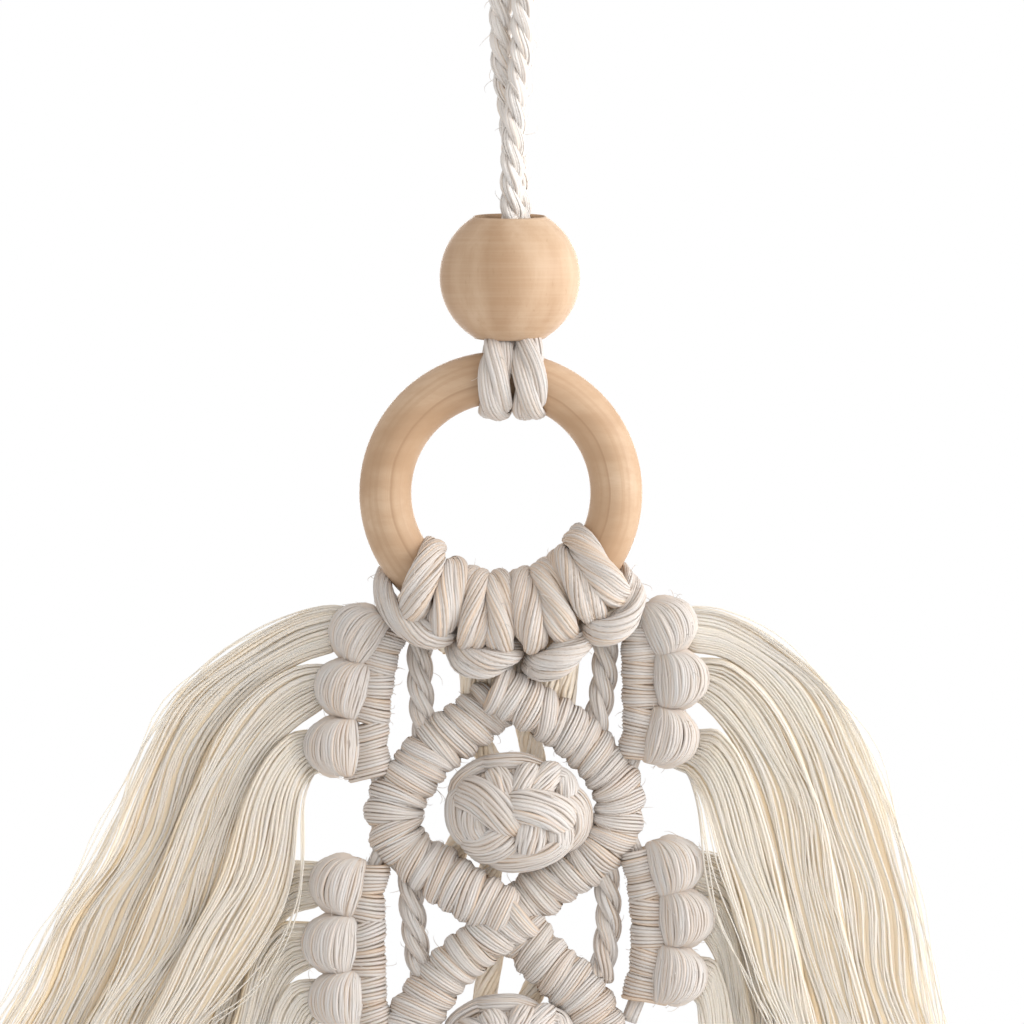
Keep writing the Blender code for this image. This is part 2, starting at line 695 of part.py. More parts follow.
def lock_mesh(spots, others, depth):
    """A three-sided lock, as thick as the room between its neighbours allows."""
    rings = []
    for k, (p, (edge, deep)) in enumerate(zip(spots, frames(spots, (0, 1, 0)))):
        t = k / (len(spots) - 1)
        size = 1.2 + 0.35 * math.sin(math.pi * t) - 0.6 * t
        room = min((p - q).length for line in others for q in line)
        size = min(size, 0.42 * room)
        rings.append(oval(p, deep, edge, size, size, 3, math.pi / 2 * (1 if depth < 0 else -1)))
    return loft(rings)


def make_fringes(collection):
    for name, spec in HEADS.items():
        side = -1 if "left" in name else 1
        pieces, root_centre, along = fringe_head(side, spec)
        routes = [lock_route(side, spec, root_centre, along, across, depth)
                  for across, depth in LOCK_SEATS]
        dense = [straight_steps(route, 8) for route in routes]
        for n, (route, (_, depth)) in enumerate(zip(routes, LOCK_SEATS)):
            pieces.append(lock_mesh(route, dense[:n] + dense[n + 1:], depth))
        fuse(name, pieces, collection, FRINGE)


# ---- bottom tassel ----
TASSEL_TOP = 240.2
TASSEL_HEAD = 15.0
TASSEL_HEAD_DIAMETER = 12.0
TASSEL_TIP = 340.0
TASSEL_LOCKS = 8


def make_bottom_tassel(collection):
    """The gathered ends under a wrapped head, hanging as combed locks."""
    wraps = 5
    spots = []
    grows = []
    for k in range(2 * wraps + 1):
        spots.append(at(0.2, TASSEL_TOP + TASSEL_HEAD * k / (2 * wraps)))
        grows.append(1.0 if k % 2 else 0.9)
    rings = []
    for p, grow in zip(spots, grows):
        r = 0.5 * TASSEL_HEAD_DIAMETER * grow
        rings.append(oval(p, Vector((1, 0, 0)), Vector((0, 1, 0)), r, 0.85 * r, 10))
    pieces = [loft(rings)]
    foot = TASSEL_TOP + TASSEL_HEAD
    for k in range(TASSEL_LOCKS):
        a = 2 * math.pi * (k + 0.5) / TASSEL_LOCKS
        c, s = math.cos(a), math.sin(a)
        route = [at(0.2 + 3.6 * c, foot - 1.5, 3.0 * s), at(0.2 + 5.6 * c, foot + 12.0, 4.6 * s),
                 at(0.2 + 8.0 * c, foot + 40.0, 5.6 * s),
                 at(0.2 + 9.4 * c, TASSEL_TIP - 3.0 * abs(c), 6.0 * s)]
        points = smooth(route, 7)
        pieces.append(strand(points, 1.35, 1.35, (1, 0, 0), 3, lambda t: 1.0 + 0.4 * t - 0.6 * t * t))
    return fuse("bottom_tassel", pieces, collection, FRINGE)


def main():
    clear_scene()
    parts = new_collection("macrame_wall_hanging")
    hidden = new_collection(ADDERS)
    hidden.hide_render = True
    make_hanging_loop(parts)
    make_ring_hitch(parts)
    make_bead(parts)
    make_ring(parts)
    make_knotted_panel(parts)
    make_fringes(parts)
    make_bottom_tassel(parts)


main()
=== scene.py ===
"""Looks for a macrame wall hanging: a twisted cotton loop, a beech bead and ring, knotted
cotton cords, two berry knots and combed fringe down both sides.

Tables are in millimetres: x, the drop below the loop's top, and y towards the wall.
"""
import math
from collections import namedtuple

import bmesh
import bpy
import numpy as np
from mathutils import Matrix, Vector


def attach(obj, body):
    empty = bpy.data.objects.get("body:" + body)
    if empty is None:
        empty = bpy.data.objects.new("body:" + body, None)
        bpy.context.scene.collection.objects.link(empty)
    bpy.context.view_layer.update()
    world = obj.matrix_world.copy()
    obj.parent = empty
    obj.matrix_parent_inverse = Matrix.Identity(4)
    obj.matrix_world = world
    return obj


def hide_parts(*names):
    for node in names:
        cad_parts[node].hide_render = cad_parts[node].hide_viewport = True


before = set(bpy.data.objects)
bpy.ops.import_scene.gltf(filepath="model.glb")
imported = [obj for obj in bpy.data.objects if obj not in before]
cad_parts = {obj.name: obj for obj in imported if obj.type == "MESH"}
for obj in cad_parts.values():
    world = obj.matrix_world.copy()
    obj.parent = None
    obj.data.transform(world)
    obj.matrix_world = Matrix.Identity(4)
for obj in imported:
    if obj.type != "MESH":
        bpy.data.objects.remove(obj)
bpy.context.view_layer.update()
MM = 0.001
TAU = 2 * math.pi
dice = np.random.default_rng(7)


# ---- camera ----
PHOTO_WIDTH = 180.9
PHOTO_MIDDLE = (0.88, 119.1)
CAMERA_AWAY = 1250.0
CAMERA_RISE_DEG = 2.6


def set_camera():
    rise = math.radians(CAMERA_RISE_DEG)
    aim = Vector((PHOTO_MIDDLE[0], 0.0, -PHOTO_MIDDLE[1])) * MM
    away = Vector((0.0, -math.cos(rise), math.sin(rise))) * (CAMERA_AWAY * MM)
    lens = bpy.data.cameras.new("photo_camera")
    lens.sensor_width = 36.0
    lens.lens = 36.0 * CAMERA_AWAY / PHOTO_WIDTH
    lens.clip_start = 0.05
    lens.clip_end = 20.0
    eye = bpy.data.objects.new("photo_camera", lens)
    bpy.context.scene.collection.objects.link(eye)
    eye.location = aim + away
    eye.rotation_euler = (-away).to_track_quat("-Z", "Y").to_euler()
    bpy.context.scene.camera = eye


set_camera()


# ---- finishes ----
class Finish:
    """A node material with a few shorthands for making its nodes."""

    def __init__(self, name, roughness, sheen=0.0):
        self.material = bpy.data.materials.new(name)
        self.material.use_nodes = True
        self.tree = self.material.node_tree
        self.shader = self.tree.nodes["Principled BSDF"]
        self.shader.inputs["Roughness"].default_value = roughness
        self.shader.inputs["Specular IOR Level"].default_value = 0.25
        self.shader.inputs["Sheen Weight"].default_value = sheen
        self.shader.inputs["Sheen Roughness"].default_value = 0.5

    def node(self, kind, fed_by=None, into=0, **values):
        """A new node fed by another's output; values are its settings or its sockets' values."""
        made = self.tree.nodes.new(kind)
        for key, value in values.items():
            if hasattr(made, key):
                setattr(made, key, value)
            else:
                made.inputs[key.replace("_", " ")].default_value = value
        if fed_by is not None:
            self.join(fed_by, made.inputs[into])
        return made

    def join(self, out, into):
        self.tree.links.new(out, into)

    def ramp(self, fac, stops):
        made = self.node("ShaderNodeValToRGB", fac)
        while len(made.color_ramp.elements) < len(stops):
            made.color_ramp.elements.new(0.5)
        for element, (place, colour) in zip(made.color_ramp.elements, stops):
            element.position = place
            element.color = (*colour, 1.0)
        return made.outputs["Color"]

    def blend(self, fac, a, b):
        made = self.node("ShaderNodeMix", data_type="RGBA")
        for socket, value in ((made.inputs[0], fac), (made.inputs[6], a), (made.inputs[7], b)):
            if hasattr(value, "node"):
                self.join(value, socket)
            else:
                socket.default_value = (*value, 1.0)
        return made.outputs[2]

    def stain(self, colour, fac, low, high, share, tint):
        """A tint over the colour, from none where fac is low to that share where it is high."""
        mask = self.ramp(fac, ((low, (0.0,) * 3), (high, (share,) * 3)))
        return self.blend(mask, colour, tint)

    def noise(self, coords, scale, detail=3.0, stretch=(1.0, 1.0, 1.0), rough=0.55):
        spread = self.node("ShaderNodeMapping", coords, Scale=stretch)
        return self.node("ShaderNodeTexNoise", spread.outputs["Vector"], Scale=scale,
                         Detail=detail, Roughness=rough).outputs["Fac"]

    def bump(self, height, strength, distance):
        made = self.node("ShaderNodeBump", height, "Height", Strength=strength, Distance=distance)
        self.join(made.outputs["Normal"], self.shader.inputs["Normal"])

    def paint(self, colour):
        self.join(colour, self.shader.inputs["Base Color"])


# where the shade attribute meets each of a cotton's four colours: the low end is painted shade and
# glow, warm, for grooves, creases, tucked ends and deep fringe
SHADE_STOPS = (0.0, 0.4, 0.85, 1.0)


def yarn_finish(name, colours, glow, let_through, relief=0.2, shaded=True):
    """Spun cotton: painted shade, warm, in the grooves, pale on each yarn's crown, with some light
    through it.
    """
    cotton = Finish(name, 0.85, 0.05)
    along = cotton.node("ShaderNodeUVMap", uv_map="yarn").outputs["UV"]
    if shaded:
        shade = cotton.node("ShaderNodeAttribute", attribute_name="shade").outputs["Fac"]
    else:
        shade = cotton.noise(along, 2.5, 3.0, (1.0, 0.12, 1.0))
    colour = cotton.ramp(shade, tuple(zip(SHADE_STOPS, colours)))
    slub = cotton.noise(along, 1.6, 2.0, (0.6, 1.0, 1.0))
    cotton.paint(cotton.stain(colour, slub, 0.4, 0.8, 0.3, colours[0]))
    if relief:
        cotton.bump(cotton.noise(along, 4.0, 2.0, (1.0, 0.15, 1.0)), relief, 0.0001)
    lit = cotton.node("ShaderNodeBsdfTranslucent", Color=(*glow, 1.0))
    mix = cotton.node("ShaderNodeMixShader", cotton.shader.outputs["BSDF"], 1, Fac=let_through)
    cotton.join(lit.outputs["BSDF"], mix.inputs[2])
    cotton.join(mix.outputs["Shader"], cotton.tree.nodes["Material Output"].inputs["Surface"])
    return cotton.material


def beech_finish(name, middle, grain):
    """Pale turned wood: soft growth bands and fine streaks along the grain."""
    beech = Finish(name, 0.5)
    here = beech.node("ShaderNodeMapping", beech.node("ShaderNodeTexCoord").outputs["Object"],
                      Location=[-c * MM for c in middle]).outputs["Vector"]
    bands = beech.noise(here, 110.0, 1.5, grain)
    streaks = beech.noise(here, 700.0, 4.0, grain, 0.7)
    colour = beech.ramp(bands, ((0.38, (0.43, 0.277, 0.167)), (0.52, (0.51, 0.35, 0.227)),
                                (0.66, (0.565, 0.407, 0.278))))
    colour = beech.stain(colour, streaks, 0.4, 0.7, 0.35, (0.405, 0.243, 0.136))
    return beech, here, colour


def bead_finish(name, middle):
    """The bead's grain stands upright, with short flecks, crossed by the lathe's level lines."""
    beech, here, colour = beech_finish(name, middle, (1.0, 1.0, 0.12))
    lathe = beech.noise(here, 2600.0, 2.0, (0.02, 0.02, 1.0), 0.5)
    colour = beech.stain(colour, lathe, 0.42, 0.7, 0.12, (0.68, 0.53, 0.39))
    flecks = beech.noise(here, 1900.0, 1.0, (1.0, 1.0, 0.3), 0.5)
    beech.paint(beech.stain(colour, flecks, 0.68, 0.76, 0.2, (0.34, 0.20, 0.10)))
    beech.bump(lathe, 0.1, 0.0001)
    return beech.material


# metres from the ring's centre
INNER_SHADE_FROM = 0.0206
INNER_SHADE_FULL = 0.0186
CREASE_RADIUS = 0.0199
CREASE_REACH = 0.0003
HOOP_DRIFT = 0.0012


def ring_finish(name, middle):
    """The ring's grain runs level, under lathe lines that follow the hoop, with painted shade along
    one faint crease and towards the inner edge.
    """
    beech, here, colour = beech_finish(name, middle, (0.22, 1.0, 1.0))
    flat = beech.node("ShaderNodeMapping", here, Scale=(1.0, 0.0, 1.0)).outputs["Vector"]
    reach = beech.node("ShaderNodeVectorMath", flat, operation="LENGTH").outputs["Value"]
    drift = beech.node("ShaderNodeMath", beech.noise(here, 60.0, 2.0), operation="MULTIPLY_ADD")
    drift.inputs[1].default_value = HOOP_DRIFT
    beech.join(reach, drift.inputs[2])
    radius = drift.outputs["Value"]
    depth = beech.node("ShaderNodeSeparateXYZ", here).outputs["Y"]
    hoop = beech.node("ShaderNodeCombineXYZ", radius)
    beech.join(depth, hoop.inputs["Y"])
    lathe = beech.noise(hoop.outputs["Vector"], 1500.0, 3.0, (1.0, 0.5, 1.0), 0.6)
    colour = beech.stain(colour, lathe, 0.42, 0.72, 0.5, (0.40, 0.25, 0.145))
    # painted shade: darker and warmer towards the ring's inner edge
    inner = beech.node("ShaderNodeMapRange", radius, From_Min=INNER_SHADE_FROM,
                       From_Max=INNER_SHADE_FULL, To_Max=0.35)
    colour = beech.blend(inner.outputs["Result"], colour, (0.45, 0.285, 0.165))
    # painted shade: a dark line along the shallow groove on the ring's face
    away = beech.node("ShaderNodeMath", radius, operation="SUBTRACT")
    away.inputs[1].default_value = CREASE_RADIUS
    near = beech.node("ShaderNodeMath", away.outputs["Value"], operation="ABSOLUTE")
    crease = beech.node("ShaderNodeMapRange", near.outputs["Value"], From_Max=CREASE_REACH,
                        To_Min=0.45, To_Max=0.0)
    beech.paint(beech.blend(crease.outputs["Result"], colour, (0.30, 0.17, 0.09)))
    beech.bump(lathe, 0.25, 0.00015)
    return beech.material


# the knotted cotton: its first colour, warm and darker, is painted shade in the grooves
KNOT_COTTON = yarn_finish("knotted_cotton_yarn", ((0.72, 0.54, 0.385), (0.68, 0.62, 0.57),
                                                  (0.71, 0.685, 0.665), (0.73, 0.705, 0.685)),
                          (0.98, 0.82, 0.62), 0.2)
# the hanging cord: a paler copy of the knotted cotton, painted lighter against the shade among its
# plies
CORD_COTTON = yarn_finish("twisted_cotton_cord", ((0.90, 0.73, 0.56), (0.84, 0.79, 0.75),
                                                  (0.85, 0.825, 0.80), (0.86, 0.83, 0.81)),
                          (0.98, 0.84, 0.66), 0.2)
# combed cotton: its first colour is painted golden glow for the deeper layers, its last a painted
# grey shade for the outline's hairs
COMBED_COTTON = yarn_finish("combed_cotton_yarn", ((0.98, 0.85, 0.64), (0.97, 0.91, 0.825),
                                                   (0.93, 0.91, 0.885), (0.76, 0.75, 0.74)),
                            (1.0, 0.935, 0.82), 0.45, 0.0)
# the under locks: painted golden glow, as of light passing through the layers of fringe
UNDER_COTTON = yarn_finish("combed_under_locks", ((1.0, 0.82, 0.57), (0.98, 0.86, 0.68),
                                                  (0.98, 0.90, 0.78), (0.98, 0.92, 0.82)),
                           (1.0, 0.88, 0.66), 0.5, 0.0, False)
# the tucked ends: a lighter, warmer copy of the knotted cotton, painted glow where they lie in shade
# behind the knots
TUCKED_COTTON = yarn_finish("tucked_cotton_ends", ((0.98, 0.82, 0.62), (0.98, 0.88, 0.75),
                                                   (0.98, 0.92, 0.84), (0.98, 0.93, 0.86)),
                            (1.0, 0.90, 0.74), 0.15)


# ---- lines and yarns ----
def spot(x, drop, y=0.0):
    return np.array((x, y, -drop))


def unit(v):
    return v / np.maximum(np.linalg.norm(v, axis=-1, keepdims=True), 1e-9)


def square_to(ahead, v):
    """The part of v that stands square to a line's direction, one unit long."""
    return unit(v - ahead * (v * ahead).sum(-1, keepdims=True))


def read_at(want, run, values):
    """Values known along a line, read at the wanted runs."""
    return np.stack([np.interp(want, run, one) for one in values.T], -1)


def smooth_line(points, count):
    """Points evenly spread along a smooth line through the given points."""
    pts = np.array(points, float)
    ends = np.vstack([2 * pts[0] - pts[1], pts, 2 * pts[-1] - pts[-2]])
    t = (np.arange(12) / 12)[:, None]
    fine = []
    for k in range(1, len(ends) - 2):
        a, b, c, d = ends[k - 1:k + 3]
        fine.append(0.5 * (2 * b + (c - a) * t + (2 * a - 5 * b + 4 * c - d) * t * t
                           + (3 * b - a - 3 * c + d) * t ** 3))
    fine = np.vstack(fine + [pts[-1:]])
    run = run_of(fine)
    return read_at(np.linspace(0, run[-1], count), run, fine)


def run_of(line):
    """How far along its line each point is, for one line or many."""
    steps = np.linalg.norm(np.diff(line, axis=-2), axis=-1)
    return np.concatenate([np.zeros((*steps.shape[:-1], 1)), np.cumsum(steps, -1)], -1)


def through(table, count):
    return smooth_line([spot(*p) for p in table], count)


def carried(line, hint):
    """Side and depth directions along a line, carried without twist."""
    ahead = unit(np.gradient(line, axis=0))
    side = np.array(hint, float)
    sides = []
    for a in ahead:
        side = unit(side - a * (side @ a))
        sides.append(side)
    sides = np.array(sides)
    return sides, np.cross(ahead, sides)


# a yarn's three corners, the crown first: across and out, in half widths
SOFT_RIDGE = ((0.0, 0.22), (-1.0, -0.2), (1.0, -0.2))
FULL_RIDGE = ((0.0, 0.42), (-1.0, -0.3), (1.0, -0.3))
HAIR_RIDGE = ((0.0, 0.36), (-1.0, -0.24), (1.0, -0.24))
ROUND_YARN = ((0.0, 1.0), (-0.87, -0.5), (0.87, -0.5))
FLAT_LOCK = ((0.0, 0.24), (-1.0, -0.14), (1.0, -0.14))
BACK_SIDE = 1
UV_PER_MM = 0.1
UV_GIRTHS = 3
UV_PER_SHADE = 7


class Basket:
    """Tubes gathered for one piece: rings of points, with a shade for each point; low shades are
    painted shade, in grooves, creases and under other cords.
    """

    def __init__(self):
        self.tubes = []

    def tube(self, rings, shade, closed=False, flat_back=False):
        """rings: tubes x steps x sides x 3, counter-clockwise seen from the tube's far end."""
        rings = np.asarray(rings, float)
        shade = np.asarray(shade, float)
        shade = shade.reshape(shade.shape + (1,) * (3 - shade.ndim))
        self.tubes.append((rings, np.broadcast_to(shade, rings.shape[:3]), closed, flat_back))

    def yarn(self, paths, outward, radius, shade, closed=False, form=SOFT_RIDGE, groove=0.42):
        """Three-sided yarns along paths (yarns x steps x 3), the crown of each facing outward."""
        paths = np.asarray(paths, float)
        if closed:
            ahead = unit(np.roll(paths, -1, 1) - np.roll(paths, 1, 1))
        else:
            ahead = unit(np.gradient(paths, axis=1))
        up = square_to(ahead, outward)
        side = np.cross(up, ahead)
        radius = np.broadcast_to(radius, paths.shape[:2])[..., None]
        rings = np.stack([paths + radius * (side * a + up * b) for a, b in form], 2)
        shade = np.asarray(shade, float)
        shade = np.broadcast_to(shade[:, None] if shade.ndim == 1 else shade, paths.shape[:2])
        # painted shade: each yarn's two side corners are lowered by groove, so the grooves between
        # yarns come out darker and warmer
        shade = shade[..., None] - groove * np.array((0.0, 1.0, 1.0))
        self.tube(rings, np.clip(shade, 0, 1), closed, form is not FLAT_LOCK)

    def stray(self, count, reach=(1.2, 3.6), radius=0.055):
        """Fine fibres that stand off the yarns here and there."""
        ridged = [rings for rings, _, _, flat_back in self.tubes if flat_back]
        share = np.array([rings.shape[0] * rings.shape[1] for rings in ridged], float)
        t = np.linspace(0, 1, 6)[:, None]
        paths, outward = [], []
        for k in dice.choice(len(ridged), count, p=share / share.sum()):
            yarn, step = (dice.integers(low, high) for low, high in
                          ((0, ridged[k].shape[0]), (1, ridged[k].shape[1] - 1)))
            here = ridged[k][yarn, step]
            ahead = unit(ridged[k][yarn, step + 1, 0] - ridged[k][yarn, step - 1, 0])
            out = unit(here[0] - here.mean(0))
            curl = np.cross(out, ahead) * dice.uniform(-0.5, 0.5)
            ahead = ahead * dice.uniform(0.5, 1.0) * dice.choice((-1.0, 1.0))
            lift = out * dice.uniform(0.15, 0.55)
            far = dice.uniform(*reach)
            paths.append(here.mean(0) + far * (ahead * t + lift * np.sin(2.2 * t) + curl * t * t))
            outward.append(np.broadcast_to(out, (6, 3)))
        fine = radius * np.interp(t[:, 0], (0, 0.6, 1), (1.0, 1.0, 0.4))
        self.yarn(np.array(paths), np.array(outward), fine[None], dice.uniform(0.5, 1.0, count),
                  form=ROUND_YARN, groove=0.1)

    def make(self, name, finish=KNOT_COTTON, node="knotted_panel", faceted=False):
        """Join the tubes; faceted keeps thin loose yarns from losing light at their edges."""
        points, corners, sizes, flats, uvs, shades = [], [], [], [], [], []
        base = 0
        for rings, shade, closed, flat_back in self.tubes:
            n, steps, sides, _ = rings.shape
            start = base + np.arange(n)[:, None, None] * steps * sides
            k = np.arange(steps if closed else steps - 1)
            j = np.arange(sides)
            low = k[:, None] * sides
            high = ((k + 1) % steps)[:, None] * sides
            after = (j + 1) % sides
            skin = np.stack([low + j, low + after, high + after, high + j], -1)
            corners.append((start[..., None] + skin[None]).ravel())
            sizes.append(np.full(n * len(k) * sides, 4))
            flats.append(np.tile(flat_back & (j == BACK_SIDE), n * len(k)))
            middle = rings.mean(2)
            length = run_of(middle) * UV_PER_MM
            length = np.concatenate([length, length[:, -1:] + UV_PER_MM], 1)
            low_v = np.broadcast_to(length[:, k, None], (n, len(k), sides))
            high_v = np.broadcast_to(length[:, k + 1, None], (n, len(k), sides))
            girth = np.linalg.norm(rings - middle[:, :, None], axis=-1).mean((1, 2)) * UV_GIRTHS
            step = girth[:, None, None] / sides
            left = j * step + shade[:, :1, :1] * UV_PER_SHADE
            left, right = (np.broadcast_to(u, low_v.shape) for u in (left, left + step))
            uv = np.stack([left, low_v, right, low_v, right, high_v, left, high_v], -1)
            uvs.append(uv.reshape(-1, 2))
            if not closed:
                first = np.arange(sides)[::-1]
                last = (steps - 1) * sides + np.arange(sides)
                caps = start.reshape(n, 1) + np.concatenate([first, last])[None]
                corners.append(caps.ravel())
                sizes.append(np.full(2 * n, sides))
                flats.append(np.ones(2 * n, bool))
                uvs.append(np.zeros((caps.size, 2)))
            points.append(rings.reshape(-1, 3))
            shades.append(shade.ravel())
            base += n * steps * sides
        points, corners = np.vstack(points) * MM, np.concatenate(corners)
        sizes = np.concatenate(sizes)
        mesh = bpy.data.meshes.new(name)
        mesh.vertices.add(len(points))
        mesh.vertices.foreach_set("co", points.ravel())
        mesh.loops.add(len(corners))
        mesh.loops.foreach_set("vertex_index", corners.astype(np.int32))
        mesh.polygons.add(len(sizes))
        mesh.polygons.foreach_set("loop_start",
                                  np.concatenate([[0], np.cumsum(sizes)[:-1]]).astype(np.int32))
        mesh.update(calc_edges=True)
        mesh.shade_smooth()
        mesh.attributes.new("sharp_face", "BOOLEAN", "FACE").data.foreach_set(
            "value", np.concatenate(flats) | faceted)
        mesh.uv_layers.new(name="yarn").data.foreach_set("uv", np.vstack(uvs).ravel())
        mesh.attributes.new("shade", "FLOAT", "POINT").data.foreach_set(
            "value", np.concatenate(shades))
        return show(name, mesh, finish, node)


def show(name, mesh, finish, node):
    """One piece of the visual model, standing for its solid."""
    made = bpy.data.objects.new(name, mesh)
    bpy.context.scene.collection.objects.link(made)
    mesh.materials.append(finish)
    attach(made, "root")
    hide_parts(node)
    return made


def wander(count, steps, reach, waves=(0.6, 1.8)):
    """A slow random sway for each yarn."""
    t = np.linspace(0, 1, steps)
    pace = dice.uniform(*waves, (count, 1))
    phase = dice.uniform(0, 1, (count, 1))
    return reach * np.sin(TAU * (pace * t + phase))


def shades_of(count, low=0.45, high=1.0):
    return dice.uniform(low, high, count)


def lay_strand(basket, line, wide, thick, count, lay, loose=0.03, hint=(1, 0, 0),
               frames=None, core=True, shade=(0.45, 1.0), turn=0.0, tucked_shade=(0.0, 0.0)):
    """Yarns side by side round an oval strand, twisting lay turns along it, over a core."""
    side, depth = frames if frames is not None else carried(line, hint)
    steps = len(line)
    wide = np.broadcast_to(wide, steps).astype(float)
    thick = np.broadcast_to(thick, steps).astype(float)
    round_it = math.pi * (3 * (wide + thick) - np.sqrt((3 * wide + thick) * (wide + 3 * thick)))
    radius = 0.8 * round_it / count
    t = np.linspace(0, 1, steps)
    seat = (np.arange(count)[:, None] + dice.uniform(-0.15, 0.15, (count, 1))) / count
    angle = TAU * (seat + lay * t) + turn + wander(count, steps, 0.2 * TAU / count)
    lift = 1 + wander(count, steps, loose) + dice.uniform(-loose, loose, (count, 1))
    c, s = np.cos(angle), np.sin(angle)
    inner_wide, inner_thick = wide - 0.3 * radius, thick - 0.3 * radius
    paths = (line + side * (c * lift * inner_wide)[..., None]
             + depth * (s * lift * inner_thick)[..., None])
    outward = unit(side * (c * thick)[..., None] + depth * (s * wide)[..., None])
    # painted shade: each yarn is darker towards the strand's tucked ends, where they go in under
    # other cords
    end_shade = np.interp(t, (0, 0.15, 0.85, 1), (tucked_shade[0], 0, 0, tucked_shade[1]))
    basket.yarn(paths, outward, radius * dice.uniform(0.92, 1.08, (count, 1)),
                shades_of(count, *shade)[:, None] - end_shade)
    if core:
        lay_core(basket, line, side, depth, inner_wide * 0.93, inner_thick * 0.93)


def lay_core(basket, line, side, depth, wide, thick, sides=8):
    a = TAU * np.arange(sides) / sides
    wide = np.broadcast_to(wide, len(line))[:, None, None]
    thick = np.broadcast_to(thick, len(line))[:, None, None]
    ring = (line[:, None] + side[:, None] * wide * np.cos(a)[:, None]
            + depth[:, None] * thick * np.sin(a)[:, None])
    # painted shade: the core, seen in the gaps between yarns, takes a low warm shade
    basket.tube(ring[None], [0.35])


def lay_cord(basket, line, wide, thick, twist, yarns, lay, hint=(1, 0, 0), frames=None,
             shade=(0.45, 1.0), tucked_shade=(0.0, 0.0)):
    """A soft cord pressed flat: three plies laid together, each a strand of yarns."""
    side, depth = frames if frames is not None else carried(line, hint)
    start = dice.uniform(0, 1)
    t = np.linspace(0, 1, len(line))
    for n in range(3):
        a = TAU * (n / 3 + start + twist * t)
        middle = (line + side * (0.4 * wide * np.cos(a))[:, None]
                  + depth * (0.36 * thick * np.sin(a))[:, None])
        lay_strand(basket, middle, wide * 0.64, thick * 0.68, yarns, lay, frames=(side, depth),
                   shade=shade, turn=dice.uniform(0, TAU), tucked_shade=tucked_shade)


def lay_plies(basket, line, diameter, pitch, hint, yarns, start=0.0):
    """A cord of three plies laid round each other, each ply a twist of fine yarns."""
    side, depth = carried(line, hint)
    ply = 0.5 * diameter / 2
    reach = diameter / 2 - ply
    run = run_of(line)
    for n in range(3):
        a = TAU * n / 3 - TAU * run / pitch + start
        middle = line + side * (reach * np.cos(a))[:, None] + depth * (reach * np.sin(a))[:, None]
        lay_strand(basket, middle, ply * 1.06, ply * 1.06, yarns, 0.35 * run[-1] / pitch, 0.04,
                   hint, turn=dice.uniform(0, TAU))


# ---- hanging cord ----
LOOP_ROUTE = (
    (0.9, 69.6, -2.35), (0.9, 58.0, -2.35), (1.6, 47.0, -2.25), (2.5, 38.5, -1.8),
    (3.0, 28.6, -1.2),
    (4.4, 23.6, -0.9), (6.6, 19.0, -0.5), (8.6, 15.0, -0.2), (9.3, 11.0, 0.0), (8.65, 7.7, 0.0),
    (6.8, 5.0, 0.0), (4.0, 3.1, 0.0), (0.7, 2.45, 0.0), (-2.6, 3.1, 0.0), (-5.4, 5.0, 0.0),
    (-7.25, 7.7, 0.0), (-7.9, 11.0, 0.0), (-7.0, 15.0, 0.2), (-4.8, 19.0, 0.5),
    (-2.4, 23.6, 0.9), (-1.2, 28.6, 1.2), (-0.9, 38.5, 1.8), (0.4, 48.0, 2.25),
    (1.4, 58.0, 2.35), (2.2, 65.0, 2.35), (2.3, 69.6, 2.35),
)
CORD_DIAMETER = 4.3
CORD_PITCH = 11.8


def hanging_cord():
    line = through(LOOP_ROUTE, 170)
    basket = Basket()
    lay_plies(basket, line, CORD_DIAMETER, CORD_PITCH, (0, 1, 0), 13)
    basket.stray(80, (1.5, 4.0))
    made = basket.make("hanging_cord", CORD_COTTON, "hanging_loop")


hanging_cord()


HITCH_ROUTE = (
    (0.3, 70.4, 2.3), (1.6, 79.0, 1.6), (2.2, 86.6, -1.2), (2.7, 90.8, -5.0), (3.0, 95.2, -6.7),
    (3.1, 98.8, -5.7), (3.0, 100.9, -2.4), (3.0, 101.1, 1.6), (3.0, 99.4, 5.4),
    (3.0, 95.6, 6.9), (2.9, 92.2, 6.2), (2.2, 89.6, 4.6), (0.0, 88.7, 4.0),
)
HITCH_MIDDLE = 0.95


def ring_hitch():
    right = [spot(HITCH_MIDDLE + x, drop, y) for x, drop, y in HITCH_ROUTE]
    left = [spot(HITCH_MIDDLE - x, drop, y) for x, drop, y in HITCH_ROUTE[:-1]]
    right[0], right[1] = spot(0.6, 70.4, 2.3), spot(2.2, 79.0, 1.6)
    left[0], left[1] = spot(0.0, 70.4, -2.3), spot(-1.8, 79.0, -2.2)
    line = smooth_line(right + left[::-1], 110)
    flat = np.clip((-line[:, 2] - 84.0) / 8.0, 0, 1)
    basket = Basket()
    lay_cord(basket, line, 1.9 + 1.15 * flat, 2.0 - 0.1 * flat, -4.0, 18, -1.5)
    basket.stray(30)
    basket.make("ring_hitch_cord", node="ring_hitch")


# ---- bead and ring ----
BEAD_CENTRE = (0.5, 77.6)
BEAD_RADIUS = 12.4
HOLE_RADIUS = 6.1
BEAD_NOD_DEG = 4.0
# the rim of the bead's hole: out from the hole and in from the bead's end
RIM_ROUND = ((0.25, 0.02), (0.08, 0.12), (0.0, 0.5))
RIM_START = 0.05
RING_CENTRE = (-1.1, 115.7)
RING_MAJOR = 20.4
RING_TUBE = 4.6
# a shallow groove on the ring's face: its depth, its place round the tube and its half width
GROOVE_DEPTH = 0.10
GROOVE_AT_DEG = 262
GROOVE_WIDE_DEG = 7


